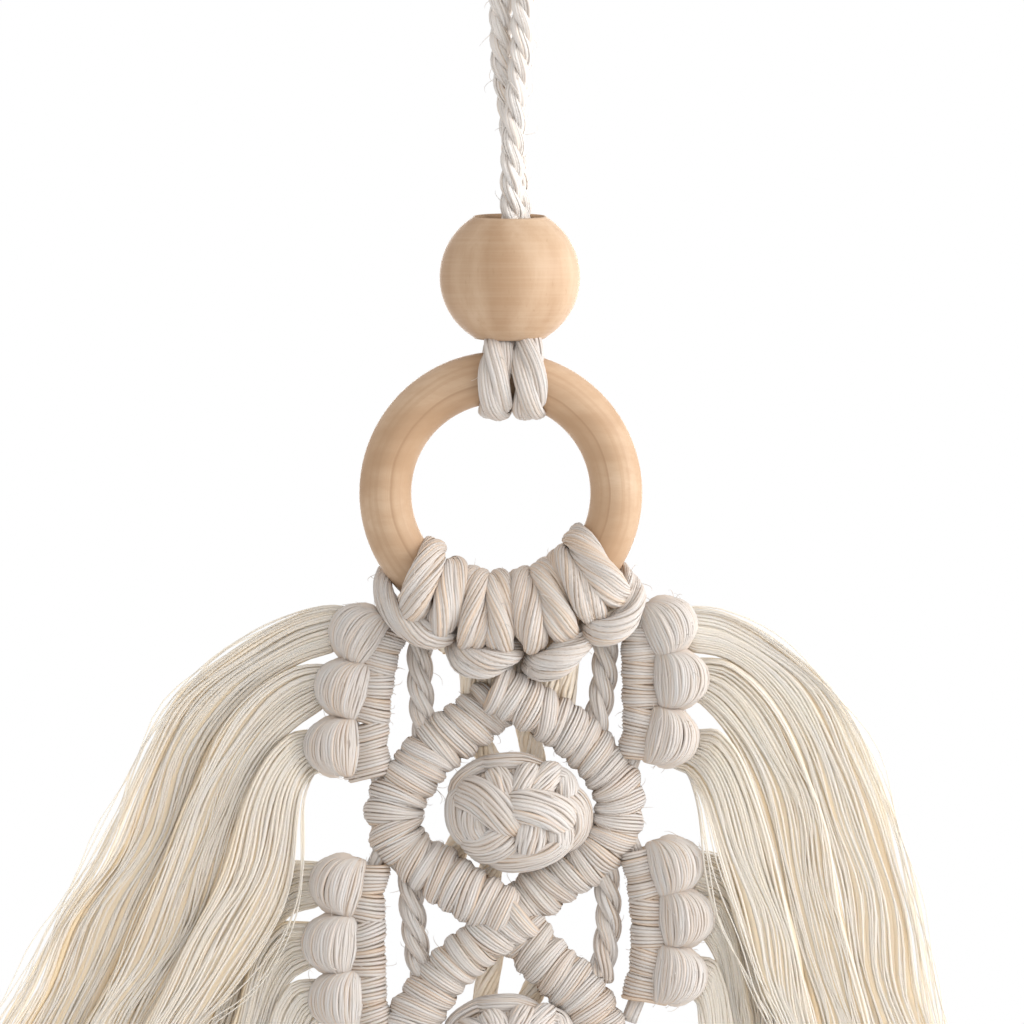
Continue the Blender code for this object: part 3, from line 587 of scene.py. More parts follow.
def turned(name, profile, axis, steps, place, finish, node, nod_deg=0.0):
    """A closed profile spun a full turn, as on a lathe, nodding towards the viewer."""
    bm = bmesh.new()
    verts = [bm.verts.new(Vector(p) * MM) for p in profile]
    edges = [bm.edges.new((verts[k], verts[(k + 1) % len(verts)])) for k in range(len(verts))]
    bmesh.ops.spin(bm, geom=verts + edges, cent=(0, 0, 0), axis=axis, angle=TAU, steps=steps,
                   use_merge=True)
    bmesh.ops.remove_doubles(bm, verts=bm.verts, dist=1e-7)
    bmesh.ops.recalc_face_normals(bm, faces=bm.faces)
    bmesh.ops.rotate(bm, verts=bm.verts, cent=(0, 0, 0),
                     matrix=Matrix.Rotation(math.radians(nod_deg), 3, "X"))
    bmesh.ops.translate(bm, verts=bm.verts, vec=Vector(place) * MM)
    mesh = bpy.data.meshes.new(name)
    bm.to_mesh(mesh)
    bm.free()
    mesh.shade_smooth()
    show(name, mesh, finish, node)


def wooden_bead():
    x, drop = BEAD_CENTRE
    middle = (x, 0.0, -drop)
    rim = math.asin(HOLE_RADIUS / BEAD_RADIUS)
    end = BEAD_RADIUS * math.cos(rim)
    around = np.linspace(rim + RIM_START, math.pi - rim - RIM_START, 28)
    profile = [(BEAD_RADIUS * math.sin(a), 0.0, BEAD_RADIUS * math.cos(a)) for a in around]
    profile += [(HOLE_RADIUS + out, 0.0, into - end) for out, into in RIM_ROUND]
    profile += [(HOLE_RADIUS + out, 0.0, end - into) for out, into in RIM_ROUND[::-1]]
    turned("wooden_bead", profile, (0, 0, 1), 72, middle, bead_finish("beech_bead", middle), "bead",
           BEAD_NOD_DEG)


def wooden_ring():
    x, drop = RING_CENTRE
    middle = (x, 0.0, -drop)
    profile = []
    for a in TAU * np.arange(36) / 36:
        groove = GROOVE_DEPTH * math.exp(-((math.degrees(a) - GROOVE_AT_DEG) / GROOVE_WIDE_DEG) ** 2)
        r = RING_TUBE - groove
        profile.append((RING_MAJOR + r * math.cos(a), r * math.sin(a), 0.0))
    turned("wooden_ring", profile, (0, 1, 0), 120, middle, ring_finish("beech_ring", middle),
           "ring")


# ---- knots on the ring ----
RING_LEGS = (
    # angle at the ring's inner edge, angle of the foot, the foot's reach, half width
    (-50.5, -37.4, 26.8, 3.1), (-31.0, -24.8, 26.4, 3.0), (-16.6, -11.8, 26.8, 3.05),
    (-1.4, 0.0, 26.8, 3.05), (14.0, 12.6, 27.0, 3.1), (29.0, 25.2, 27.0, 3.1),
    (43.4, 38.4, 27.0, 3.0), (60.0, 49.6, 27.4, 3.2),
)
LEG_ROUTE = (
    # radius (from the ring's centre, or from the foot where negative), depth, share of the turn
    (20.4, 6.4, 0.0), (17.0, 5.4, 0.0), (15.1, 2.4, 0.0), (14.9, -0.9, 0.02),
    (16.0, -4.2, 0.12), (18.6, -6.2, 0.42), (-4.4, -7.4, 0.8), (-1.6, -7.2, 1.0),
    (0.2, -5.2, 1.05), (0.9, -2.8, 1.05),
)
RING_BARS = (
    # x, drop, depth and half width along each bar
    ((-21.6, 129.9, 4.0, 1.7), (-21.9, 132.0, 0.6, 2.1), (-21.0, 134.8, -2.8, 2.6),
     (-18.2, 138.2, -5.4, 2.9), (-14.4, 140.5, -6.2, 3.2), (-11.2, 140.3, -5.2, 2.8),
     (-9.4, 139.0, -2.4, 1.8)),
    ((-9.8, 143.0, -1.5, 1.7), (-7.2, 144.9, -5.2, 2.8), (-3.7, 145.1, -6.2, 3.1),
     (-0.2, 144.0, -5.4, 2.8), (2.2, 142.4, -2.4, 1.7)),
    ((3.4, 146.0, -1.5, 1.7), (6.4, 145.9, -5.2, 2.8), (9.7, 144.4, -6.2, 3.2),
     (12.4, 142.2, -5.2, 2.7), (13.9, 139.8, -2.0, 1.7)),
    ((20.2, 129.6, 4.0, 1.7), (21.7, 131.6, 0.2, 2.1), (22.4, 134.4, -4.0, 2.4),
     (21.4, 137.2, -5.6, 2.7), (18.9, 139.3, -6.3, 3.1), (16.1, 139.9, -5.6, 3.0),
     (13.6, 139.2, -2.8, 1.9)),
)
LEG_STEPS = 28


def on_ring(angle_deg, radius, y):
    a = math.radians(angle_deg)
    return spot(RING_CENTRE[0] + radius * math.sin(a), RING_CENTRE[1] + radius * math.cos(a), y)


def ring_leg(basket, top, foot, reach, half, slant):
    """One leg: from behind, over the ring's inner edge, down its front and in under the bar."""
    line, hoop = [], []
    for radius, y, share in LEG_ROUTE:
        angle = top + (foot - top) * share
        line.append(on_ring(angle, radius if radius > 10 else reach + radius, y))
        hoop.append(on_ring(angle, RING_MAJOR, 0.0))
    line, hoop = smooth_line(line, LEG_STEPS), smooth_line(hoop, LEG_STEPS)
    ahead = unit(np.gradient(line, axis=0))
    depth = square_to(ahead, unit(line - hoop))
    side = np.cross(depth, ahead)
    t = np.linspace(0, 1, LEG_STEPS)
    wide = half * np.interp(t, (0, 0.4, 0.55, 0.78, 0.9, 1), (0.72, 0.78, 0.9, 1.0, 0.82, 0.4))
    thick = np.interp(t, (0, 0.4, 0.75, 0.9, 1), (1.4, 1.5, 2.5, 2.2, 1.0))
    # painted shade: the legs take lower shades than the other knots, and darken towards both tucked
    # ends
    lay_cord(basket, line, wide, thick, slant * dice.uniform(0.6, 0.9), 20,
             slant * dice.uniform(0.9, 1.3), frames=(side, depth), shade=(0.25, 0.85),
             tucked_shade=(0.15, 0.45))


def ring_knots():
    basket = Basket()
    for k, leg in enumerate(RING_LEGS):
        ring_leg(basket, *leg, -1 if k % 2 else 1)
    for bar in RING_BARS:
        bar = np.array(bar)
        line = through(bar[:, :3], 24)
        half = np.interp(np.linspace(0, 1, 24), np.linspace(0, 1, len(bar)), bar[:, 3])
        # painted shade: each bar darkens towards both ends
        lay_cord(basket, line, half, half * 0.86, 0.5, 20, 0.9, hint=(0, 0, 1),
                 tucked_shade=(0.3, 0.3))
    basket.stray(160)
    basket.make("ring_knots")


# ---- diamonds of ridged bars ----
DIAMONDS = (
    # upper crossing's drop, upper stretch, width, berry x, berry drop
    (150.4, 1.0, 1.0, 2.3, 172.3), (190.6, 1.3, 0.96, 1.4, 215.2),
)
DIAMOND_HALF = 19.9
BARS_LEFT = (
    (-1.6, 152.4, 0.6), (-7.6, 157.3, 0.0), (-12.6, 160.8, 0.0), (-16.2, 165.2, 0.0),
    (-19.5, 169.8, 0.0), (-19.9, 174.4, 0.0), (-17.8, 179.0, 0.0), (-12.2, 183.0, -0.6),
    (-6.3, 186.9, -1.8), (0.4, 190.6, -2.4),
)
BARS_RIGHT = (
    (-2.6, 149.6, -2.4), (4.4, 153.6, -1.8), (10.1, 157.1, -0.6), (15.4, 161.8, 0.0),
    (19.0, 166.6, 0.0), (20.0, 171.2, 0.0), (18.7, 176.0, 0.0), (15.3, 180.4, 0.0),
    (9.4, 184.2, 0.8), (3.6, 188.2, 1.6), (0.0, 191.0, 2.0),
)
WRAP_PITCH = (2.5, 3.6)
WRAP_SIDES = 20
YARN_INSET = 0.15


def in_diamond(n, x, drop, y):
    """A point of the first diamond, placed in the nth; every other one is mirrored."""
    start, stretch, width, _, _ = DIAMONDS[n]
    rise = drop - DIAMONDS[0][0]
    low = start + stretch * min(rise, DIAMOND_HALF) + max(0.0, rise - DIAMOND_HALF)
    flip = -1.0 if n % 2 else 1.0
    return spot(flip * width * (x - 0.2) + 0.2, low, y)


def ridged_bar(basket, points, wide, thick, slant, yarns=9):
    """Tight wraps round a leading cord: each a low band of closed turns, leaning over."""
    line = smooth_line(points, 160)
    run = run_of(line)
    side, depth = carried(line, (0, 0, 1))
    lay_core(basket, line[::4], side[::4], depth[::4], wide * 0.8, thick * 0.8)
    wraps = max(2, round(run[-1] / sum(WRAP_PITCH) * 2))
    edges = np.concatenate([[0.0], np.cumsum(dice.uniform(*WRAP_PITCH, wraps))])
    edges *= run[-1] / edges[-1]
    phi = TAU * np.arange(WRAP_SIDES) / WRAP_SIDES
    c, s = np.cos(phi), np.sin(phi)
    for start, end in zip(edges[:-1], edges[1:]):
        lean = slant + dice.uniform(-0.6, 0.6)
        bow = dice.uniform(-0.5, 0.5)
        across = np.linspace(-1, 1, yarns)[:, None]
        pinch = 0.8 + 0.35 * np.abs(s) ** 1.5
        here = ((start + end) / 2 + across * 0.5 * (end - start) * 1.1 * pinch
                + lean * c + bow * np.sin(2 * phi) * 0.6 + dice.uniform(-0.1, 0.1, (yarns, 1)))
        here = np.clip(here, 0, run[-1])
        middle, sideways, deep = (read_at(here, run, v) for v in (line, side, depth))
        crest = (1.0 - 0.14 * across ** 2 + dice.uniform(-0.02, 0.02, (yarns, 1))
                 + dice.uniform(-0.04, 0.04) + 0.03 * np.sin(phi * 2 + dice.uniform(0, TAU)))
        a, b = (wide - YARN_INSET) * c * crest, (thick - YARN_INSET) * s * crest
        paths = middle + sideways * a[..., None] + deep * b[..., None]
        outward = unit(sideways * (c * thick)[:, None] + deep * (s * wide)[:, None])
        # painted shade: each wrap's yarns darken towards its edges, in the creases between wraps
        basket.yarn(paths, outward, dice.uniform(0.31, 0.38, (yarns, 1)),
                    shades_of(yarns)[:, None] - 0.3 * across ** 4, closed=True)


def diamond_bars():
    basket = Basket()
    for n in range(len(DIAMONDS)):
        for route, slant, wide in ((BARS_LEFT, 0.7, 5.2), (BARS_RIGHT, -0.7, 4.8)):
            points = [in_diamond(n, *p) for p in route]
            ridged_bar(basket, points, wide, 3.9, slant * (-1 if n % 2 else 1))
    basket.stray(200)
    basket.make("diamond_bars")


# ---- tucked and linking cords ----
TUCKED_ENDS_DEG = (-40.0, -28.6, -18.0, -6.0, 6.2, 19.0, 31.6, 43.0)
LINKS = (
    ((-15.4, 142.0, 1.4), (-15.3, 151.0, 1.0), (-14.2, 160.6, 0.4)),
    ((17.4, 140.6, 1.4), (17.1, 149.0, 1.0), (15.4, 158.4, 0.4)),
    ((-17.1, 183.0, 0.6), (-16.4, 194.0, 1.0), (-14.6, 203.6, 0.4)),
    ((17.4, 181.0, 0.6), (18.0, 191.5, 1.0), (16.6, 202.0, 0.4)),
)
FILLERS = (
    ((-6.6, 143.4, 1.4), (-5.8, 156.0, 2.0)), ((-3.0, 144.2, 1.4), (-2.2, 152.6, 1.0)),
    ((0.8, 144.0, 1.4), (0.6, 152.0, 1.0)), ((4.6, 144.0, 1.4), (3.4, 152.8, 1.0)),
    ((8.4, 143.4, 1.4), (7.0, 154.0, 1.4)), ((10.8, 143.4, 1.4), (9.8, 156.0, 2.0)),
)
BERRY_TIES = (
    ((-6.4, 156.4, 2.4), (-4.8, 160.4, 3.2), (-1.6, 165.6, 3.0)),
    ((2.4, 153.6, 3.0), (3.6, 157.8, 3.6), (5.0, 164.0, 3.0)),
    ((-9.4, 184.0, 2.4), (-9.2, 179.6, 3.2), (-5.8, 174.6, 3.0)),
    ((-2.6, 188.4, 2.4), (-3.2, 184.4, 3.2), (-1.6, 178.4, 3.0)),
    ((8.8, 186.4, 2.4), (7.6, 183.0, 3.2), (5.6, 177.0, 3.0)),
)


def tucked_cords():
    """The knots' ends behind the ring, and the plain cords behind the first bars and berries."""
    basket = Basket()
    # painted glow: the hidden cords take low shades, warm on the tucked cotton's bright colours
    for angle in TUCKED_ENDS_DEG:
        ends = [on_ring(angle, 22.8, 5.9), on_ring(angle, 26.0, 3.6), on_ring(angle, 29.4, 1.2)]
        lay_strand(basket, smooth_line(ends, 10), 2.3, 1.7, 16, 0.2, shade=(0.2, 0.8))
    for filler in FILLERS:
        lay_strand(basket, through(filler, 8), 2.2, 1.8, 16, 0.2, core=False, shade=(0.15, 0.8))
    for n in range(len(DIAMONDS)):
        for tie in BERRY_TIES:
            points = [in_diamond(n, *p) for p in tie]
            lay_strand(basket, smooth_line(points, 12), 2.2, 1.8, 16, 0.4, core=False,
                       shade=(0.1, 0.8))
    basket.make("tucked_cords", TUCKED_COTTON)


def linking_cords():
    basket = Basket()
    for link in LINKS:
        lay_plies(basket, through(link, 30), CORD_DIAMETER * 1.1, CORD_PITCH * 1.15, (1, 0, 0),
                  14, dice.uniform(0, TAU))
    basket.stray(60, (1.5, 4.5))
    basket.make("linking_cords")


# ---- berry knots ----
BERRY_RADII = (12.4, 9.0, 9.9)
HEART_YARNS = 30
BAND_STEPS = 20
BERRY_BANDS = (
    # route from the berry's centre (x, drop), half width, how far out it lies
    (((-12.2, -0.6), (-11.6, -5.0), (-6.9, -8.4), (-0.4, -9.6), (4.6, -9.2)), 2.6, 0.84),
    (((-9.8, -6.0), (-12.0, -2.0), (-11.4, 2.8), (-8.2, 6.8)), 3.0, 0.92),
    (((-9.4, -2.4), (-9.0, 1.8), (-6.8, 5.4)), 3.0, 0.96),
    (((7.4, -5.4), (10.9, -1.7), (11.4, 2.6), (9.0, 7.0)), 2.9, 0.93),
    (((-1.6, -2.8), (-3.4, -5.6), (-5.6, -8.0)), 2.7, 0.97),
    (((-0.6, -2.6), (0.9, -5.8), (2.3, -9.1)), 2.5, 0.99),
    (((1.6, -3.2), (4.4, -6.2), (6.7, -8.4)), 2.5, 1.0),
    (((5.0, -7.6), (8.2, -6.2), (9.5, -2.2)), 2.5, 0.98),
    (((2.0, -0.2), (2.0, 3.7), (1.7, 7.8)), 2.9, 0.97),
    (((6.4, 0.8), (7.4, 4.0), (6.6, 7.2)), 2.8, 0.95),
    (((-9.8, 6.6), (-5.6, 6.2), (-1.2, 3.2)), 3.6, 1.0),
    (((-6.6, 9.2), (0.6, 8.6), (5.8, 6.8), (10.6, 2.6)), 3.0, 1.03),
    (((-12.0, -4.2), (-7.6, -3.4), (-3.4, -0.3), (-0.2, 3.4)), 3.6, 1.06),
    (((-2.8, -2.4), (2.4, -1.8), (6.4, -0.5), (10.2, 2.0)), 3.4, 1.1),
)


def berry_heart(basket, x, drop):
    """The ball under the bands: a core wound round with single yarns."""
    rx, ry, rz = BERRY_RADII
    phi = TAU * np.arange(WRAP_SIDES) / WRAP_SIDES
    along = np.linspace(-0.985, 0.985, HEART_YARNS)[:, None]
    full = np.sqrt(1 - along ** 2)
    wound = spot(x, drop) + np.stack([along * (rx - 0.8) + 0 * phi, full * (ry - 1.2) * np.cos(phi),
                                      full * (rz - 0.8) * np.sin(phi)], -1)
    # painted shade: the ball's yarns, under the bands, take lower shades
    basket.yarn(wound, unit(wound - spot(x, drop)), 0.56, shades_of(HEART_YARNS, 0.3, 0.8),
                closed=True)
    along = np.linspace(-0.96, 0.96, 13)
    full = np.sqrt(1 - along ** 2)
    line = spot(x, drop) + along[:, None] * np.array((rx - 1.4, 0.0, 0.0))
    lay_core(basket, line, *carried(line, (0, 1, 0)), (ry - 1.8) * full, (rz - 1.4) * full, 16)


def berry_band(basket, x, drop, route, half, level):
    """A flat cord that crosses the ball's face and dips in at both ends."""
    rx, ry, rz = BERRY_RADII
    flat = smooth_line([(a, 0.0, b) for a, b in route], BAND_STEPS)
    a, b = flat[:, 0], flat[:, 2]
    inside = np.clip(1 - (a / rx) ** 2 - (b / rz) ** 2, 0.0, 1)
    y = -(ry - 1.4) * np.sqrt(inside) * level
    line = smooth_line(np.stack([x + a * 0.95, y, -(drop + b * 0.95)], 1), BAND_STEPS)
    outward = (line - spot(x, drop)) / np.array((rx, ry, rz)) ** 2
    ahead = unit(np.gradient(line, axis=0))
    depth = square_to(ahead, outward)
    t = np.linspace(-1, 1, BAND_STEPS)
    full = 1 - 0.3 * np.abs(t) ** 3
    # painted shade: the band darkens towards both ends, where it dips in
    lay_strand(basket, line - depth * (1.3 * np.abs(t) ** 4)[:, None], half * full, 1.9 * full,
               26, 0.1, frames=(np.cross(depth, ahead), depth), tucked_shade=(0.4, 0.4))


def berry_knots():
    basket = Basket()
    for _, _, _, x, drop in DIAMONDS:
        berry_heart(basket, x, drop)
        for band in BERRY_BANDS:
            berry_band(basket, x, drop, *band)
    basket.stray(60)
    basket.make("berry_knots")


# ---- side heads ----
OUTER_CORDS = (
    ((-17.2, 136.6, 2.6), (-19.4, 139.0, 1.2), (-22.0, 143.6, 0.0), (-23.4, 151.8, 0.0),
     (-24.0, 161.3, 0.0), (-21.6, 169.6, 0.0)),
    ((19.6, 133.6, 2.6), (21.6, 136.8, 1.2), (23.0, 141.5, 0.0), (23.4, 149.5, 0.0),
     (23.3, 158.5, 0.0), (20.8, 167.0, 0.0)),
    ((-21.4, 177.0, 0.0), (-24.4, 185.0, 0.0), (-24.5, 196.5, 0.0), (-24.2, 206.4, 0.0),
     (-22.0, 212.6, 0.0)),
    ((20.6, 174.6, 0.0), (23.8, 182.4, 0.0), (24.9, 191.5, 0.0), (24.5, 200.7, 0.0),
     (21.6, 209.4, 0.0)),
)
Head = namedtuple("Head", "x drop tilt reach height above below layer")
HEADS = {
    # x, drop, tilt, reach, the wraps' height, fringe line above, line below, depth
    "left_1": Head(-22.0, 143.6, 33, 5.8, 7.6, 0, 1, 1.0),
    "left_2": Head(-23.4, 152.0, 16, 6.2, 8.2, 1, 2, -0.8),
    "left_3": Head(-24.0, 161.1, 2, 7.0, 8.2, 2, 3, -2.6),
    "left_4": Head(-24.6, 186.6, 14, 5.8, 9.2, 4, 5, 3.2),
    "left_5": Head(-24.5, 196.5, 6, 7.0, 9.4, 5, 6, 1.0),
    "left_6": Head(-24.1, 206.0, 2, 6.2, 8.8, 6, 7, 0.0),
    "right_1": Head(22.9, 141.9, 24, 6.5, 6.8, 0, 1, 1.0),
    "right_2": Head(23.4, 149.4, 4, 7.4, 7.8, 1, 2, -0.8),
    "right_3": Head(23.3, 158.2, -12, 5.8, 8.0, 2, 3, -2.6),
    "right_4": Head(24.0, 183.4, 14, 6.1, 7.8, 4, 5, 3.2),
    "right_5": Head(24.9, 191.8, 5, 6.9, 8.4, 5, 6, 1.0),
    "right_6": Head(24.5, 200.9, -6, 6.0, 8.4, 6, 7, 0.0),
}
HEAD_YARNS = 16
WRAP_REACH = 2.65
BIGHT_YARNS = 52
BIGHT_STEPS = 18
# the bight's width, height before the head's own is added, and depth
BIGHT_SIZE = (4.9, 4.6, 3.8)
FRONT = np.array((0.0, -1.0, 0.0))


def head_axes(side, tilt):
    a = math.radians(tilt)
    return (np.array((side * math.cos(a), 0.0, math.sin(a))),
            np.array((side * math.sin(a), 0.0, -math.cos(a))))


def side_of(head):
    return math.copysign(1, head.x)


def outer_cord_at(near):
    """The outer cord nearest a point: its fine line, and the nearest run on it."""
    lines = [through(route, 241) for route in OUTER_CORDS]
    line = min(lines, key=lambda one: np.linalg.norm(one - near, axis=1).min())
    k = int(np.linalg.norm(line - near, axis=1).argmin())
    return line, run_of(line)[k]


def head_wraps(basket, head):
    """Combed cord wrapped round the outer cord in two strands, its yarns lying side by side."""
    line, here = outer_cord_at(spot(head.x, head.drop))
    run = run_of(line)
    across = np.linspace(-0.5, 0.5, HEAD_YARNS)[:, None]
    across = across + dice.uniform(-0.15, 0.15, (HEAD_YARNS, 1)) / HEAD_YARNS
    phi = TAU * np.arange(WRAP_SIDES) / WRAP_SIDES
    c, s = np.cos(phi), np.sin(phi)
    lean = (0.4 * dice.uniform(-1, 1, 2)[(across < 0).astype(int)] + 0.25) * c
    place = np.clip(here + across * head.height * (1.08 - 0.16 * c) + lean, 0, run[-1])
    middle = read_at(place, run, line)
    ahead = read_at(place, run, unit(np.gradient(line, axis=0)))
    out = unit(np.cross(FRONT, ahead))
    out = np.where((out[..., :1] * side_of(head)) < 0, -out, out)
    strand = np.sin(math.pi * ((across + 0.5) * 2 % 1.0))
    rho = WRAP_REACH + 0.5 * strand ** 0.6 + dice.uniform(-0.1, 0.1, (HEAD_YARNS, 1))
    stretch = np.where(c > 0, 1.0 + 0.9 * c ** 2, 1.0)
    spoke = out * c[:, None] * stretch[:, None] + FRONT * s[:, None] * 1.05
    paths = middle + spoke * rho[..., None]
    # painted shade: each yarn darkens towards the edges of its strand, in the crease between the two
    # strands
    basket.yarn(paths, unit(spoke), dice.uniform(0.34, 0.42, (HEAD_YARNS, 1)),
                shades_of(HEAD_YARNS)[:, None] - 0.3 * (1 - strand) ** 2, closed=True,
                form=FULL_RIDGE)
    level = np.linspace(here - 0.5 * head.height, here + 0.5 * head.height, 10)
    k = np.searchsorted(run, np.clip(level, 0, run[-1] - 1e-6))
    if len(np.unique(k)) > 3:
        core = line[np.minimum(k, len(line) - 1)]
        lay_core(basket, core, *carried(core, (1, 0, 0)), 2.5, 2.5)


def head_bight(basket, head):
    """The bight of the cord, bulging over its own ends: yarns arch from top to foot."""
    out, along = head_axes(side_of(head), head.tilt)
    middle = spot(head.x, head.drop, -1.4) + out * (head.reach - 0.1) - along * 0.4
    round_it = np.radians(np.linspace(-100, 215, BIGHT_YARNS))[:, None]
    round_it = round_it + dice.uniform(-0.02, 0.02, (BIGHT_YARNS, 1))
    round_it = round_it + wander(BIGHT_YARNS, BIGHT_STEPS, 0.02)
    t = np.linspace(0.05, math.pi - 0.05, BIGHT_STEPS) + wander(BIGHT_YARNS, BIGHT_STEPS, 0.02)
    wide, tall, deep = BIGHT_SIZE
    tall = tall + 0.08 * head.height
    full = np.sin(t) ** 0.7
    lift = (1 + dice.uniform(-0.025, 0.025, (BIGHT_YARNS, 1))
            + wander(BIGHT_YARNS, BIGHT_STEPS, 0.012))
    a = np.sin(round_it) * wide * full * lift
    b = np.cos(round_it) * deep * full * lift
    inward = -2.8 * (1 - np.sin(t)) ** 1.2
    paths = (middle + out * (a + inward)[..., None] + FRONT * b[..., None]
             - along * (np.cos(t) * tall)[..., None])
    # painted shade: the yarns darken towards both ends of the arch, where the bight goes in under
    # itself
    shade = shades_of(BIGHT_YARNS)[:, None] - 0.4 * (1 - np.sin(t)) ** 1.5
    radius = dice.uniform(0.4, 0.48, (BIGHT_YARNS, 1)) * full ** 0.5
    basket.yarn(paths, unit(paths - middle), radius, shade, form=FULL_RIDGE)
    ends = np.sin(np.linspace(-1.45, 1.45, 17))
    full = np.sqrt(1 - ends ** 2)
    line = middle + along * (ends * tall * 0.88)[:, None]
    line = line + out * (-2.5 * (1 - full) ** 1.2)[:, None]
    lay_core(basket, line, *carried(line, tuple(out)), 4.5 * full, 3.4 * full, 14)


def softened(line, reach):
    """The line with its corners eased, more so further down."""
    ends = np.vstack([2 * line[0] - line[reach:0:-1], line, 2 * line[-1] - line[-2:-reach - 2:-1]])
    mean = np.stack([np.convolve(ends[:, k], np.ones(2 * reach + 1) / (2 * reach + 1), "valid")
                     for k in range(3)], 1)
    share = np.clip((run_of(line) - 5.0) / 16.0, 0, 1)[:, None]
    return line * (1 - share) + mean * share


# ---- combed fringe ----
FRINGE_STEPS = 52
# half the fringe's depth, front to back
FRINGE_THICK = 1.2
FRINGE_WISPS = 6
FRINGE_LOCKS = 10
# yarns, depth (-1 is the front, 1 the back) and least shade of each layer; the lower shades of
# deeper layers are painted golden glow
FRINGE_LAYERS = ((15, -1.0, 0.56), (16, -0.88, 0.35), (18, -0.76, 0.1), (16, 0.5, 0.4))
# how far below its head some fringe starts
LOWERED_FRINGE = {"left_3": 0.8, "right_1": 1.0, "right_3": 1.5, "right_4": 1.4}
# the lines that the fringe flows along: the first four bound the upper heads, the rest the lower
OUTLINE_LINES = (0, 4)
INMOST_LINES = (3, 7)
FLOW_LEFT = (
    # crest, shoulder, knee, fall and tip
    ((-43.6, 139.8), (-59.2, 150.9), (-69.8, 172.6), (-89.6, 208.2), (-109.0, 304.0)),
    ((-40.1, 147.0), (-50.4, 156.7), (-57.8, 175.3), (-73.3, 209.6), (-93.0, 311.0)),
    ((-40.1, 159.0), (-46.1, 167.3), (-49.3, 180.6), (-63.1, 209.6), (-79.0, 318.0)),
    ((-37.0, 169.4), (-37.2, 178.4), (-38.8, 190.0), (-52.6, 209.6), (-68.5, 320.0)),
    ((-38.5, 181.0), (-45.6, 186.8), (-51.0, 196.8), (-56.0, 211.0), (-67.6, 339.0)),
    ((-40.0, 190.8), (-44.7, 197.0), (-47.1, 204.7), (-48.6, 214.6), (-57.0, 349.0)),
    ((-38.9, 201.7), (-41.3, 205.9), (-42.5, 211.6), (-42.9, 218.6), (-44.5, 358.0)),
    ((-35.5, 213.3), (-35.8, 216.6), (-35.8, 221.2), (-35.4, 228.3), (-30.0, 363.0)),
)
FLOW_RIGHT = (
    ((41.2, 137.1), (54.8, 146.8), (67.0, 165.6), (76.2, 202.7), (84.5, 318.0)),
    ((40.8, 145.2), (48.2, 153.2), (54.4, 168.2), (63.4, 209.6), (73.9, 325.0)),
    ((38.0, 156.6), (42.6, 163.8), (46.8, 178.8), (53.9, 209.6), (64.1, 329.0)),
    ((35.2, 170.0), (36.6, 177.1), (39.1, 187.7), (47.4, 209.6), (57.1, 329.0)),
    ((40.0, 180.6), (43.8, 186.8), (47.0, 195.6), (49.6, 211.6), (57.4, 342.0)),
    ((39.1, 189.8), (40.7, 194.7), (41.9, 201.8), (43.1, 211.6), (47.6, 350.0)),
    ((38.0, 199.7), (38.9, 203.7), (39.5, 208.2), (39.5, 216.4), (38.6, 357.0)),
    ((35.2, 210.6), (35.2, 215.0), (35.0, 220.3), (34.4, 226.5), (28.0, 362.0)),
)


def crowded(line, steps):
    """Points along a line, closer over the shoulder than down the fall."""
    want = (len(line) - 1) * (np.arange(steps) / (steps - 1)) ** 1.5
    return read_at(want, np.arange(len(line)), line)


def fringe_routes(name, across, depth, drift):
    """Routes from inside one head, over the shoulder and down: across and depth place each."""
    head = HEADS[name]
    side = side_of(head)
    out, along = head_axes(side, head.tilt)
    level, down = head_axes(side, 0.15 * head.tilt)
    lines = np.array(FLOW_LEFT if side < 0 else FLOW_RIGHT)
    lines = np.insert(lines, 4, lines[:, 3] + 0.25 * (lines[:, 3] - lines[:, 2]), 1)
    mid = spot(head.x, head.drop + LOWERED_FRINGE.get(name, 0.0), 0.6)
    stations = []
    held = np.clip(across, 0, 1)
    round_off = np.sqrt(1 - 0.8 * (2 * held - 1) ** 2)
    turn = level * (4.8 - 2.9 * held)[:, None] + down * (0.5 * held)[:, None]
    for centre, slope, tall, deep in ((mid + out * (head.reach - 2.0), along, 4.6, 1.8),
                                      (mid + out * (head.reach + 1.6), along, 6.8, 2.0),
                                      (mid + out * (head.reach + 1.8) + turn, down, 7.8, 2.3)):
        stations.append(centre + slope * ((held - 0.5) * tall)[:, None]
                        - FRONT * (depth * deep * round_off)[:, None])
    for k, share in enumerate((0.2, 0.6, 1.1, 1.7, 1.85, 2.3)):
        u = (across + drift * share)[:, None]
        flat = lines[head.above, k] * (1 - u) + lines[head.below, k] * u
        if k == 5:
            flat[:, 1] += dice.uniform(-14, 3, len(across))
        stations.append(np.stack([flat[:, 0], head.layer + depth * FRINGE_THICK, -flat[:, 1]], 1))
    stations = np.stack(stations, 1)
    return np.stack([crowded(softened(softened(smooth_line(s, 161), 7), 5), FRINGE_STEPS)
                     for s in stations])


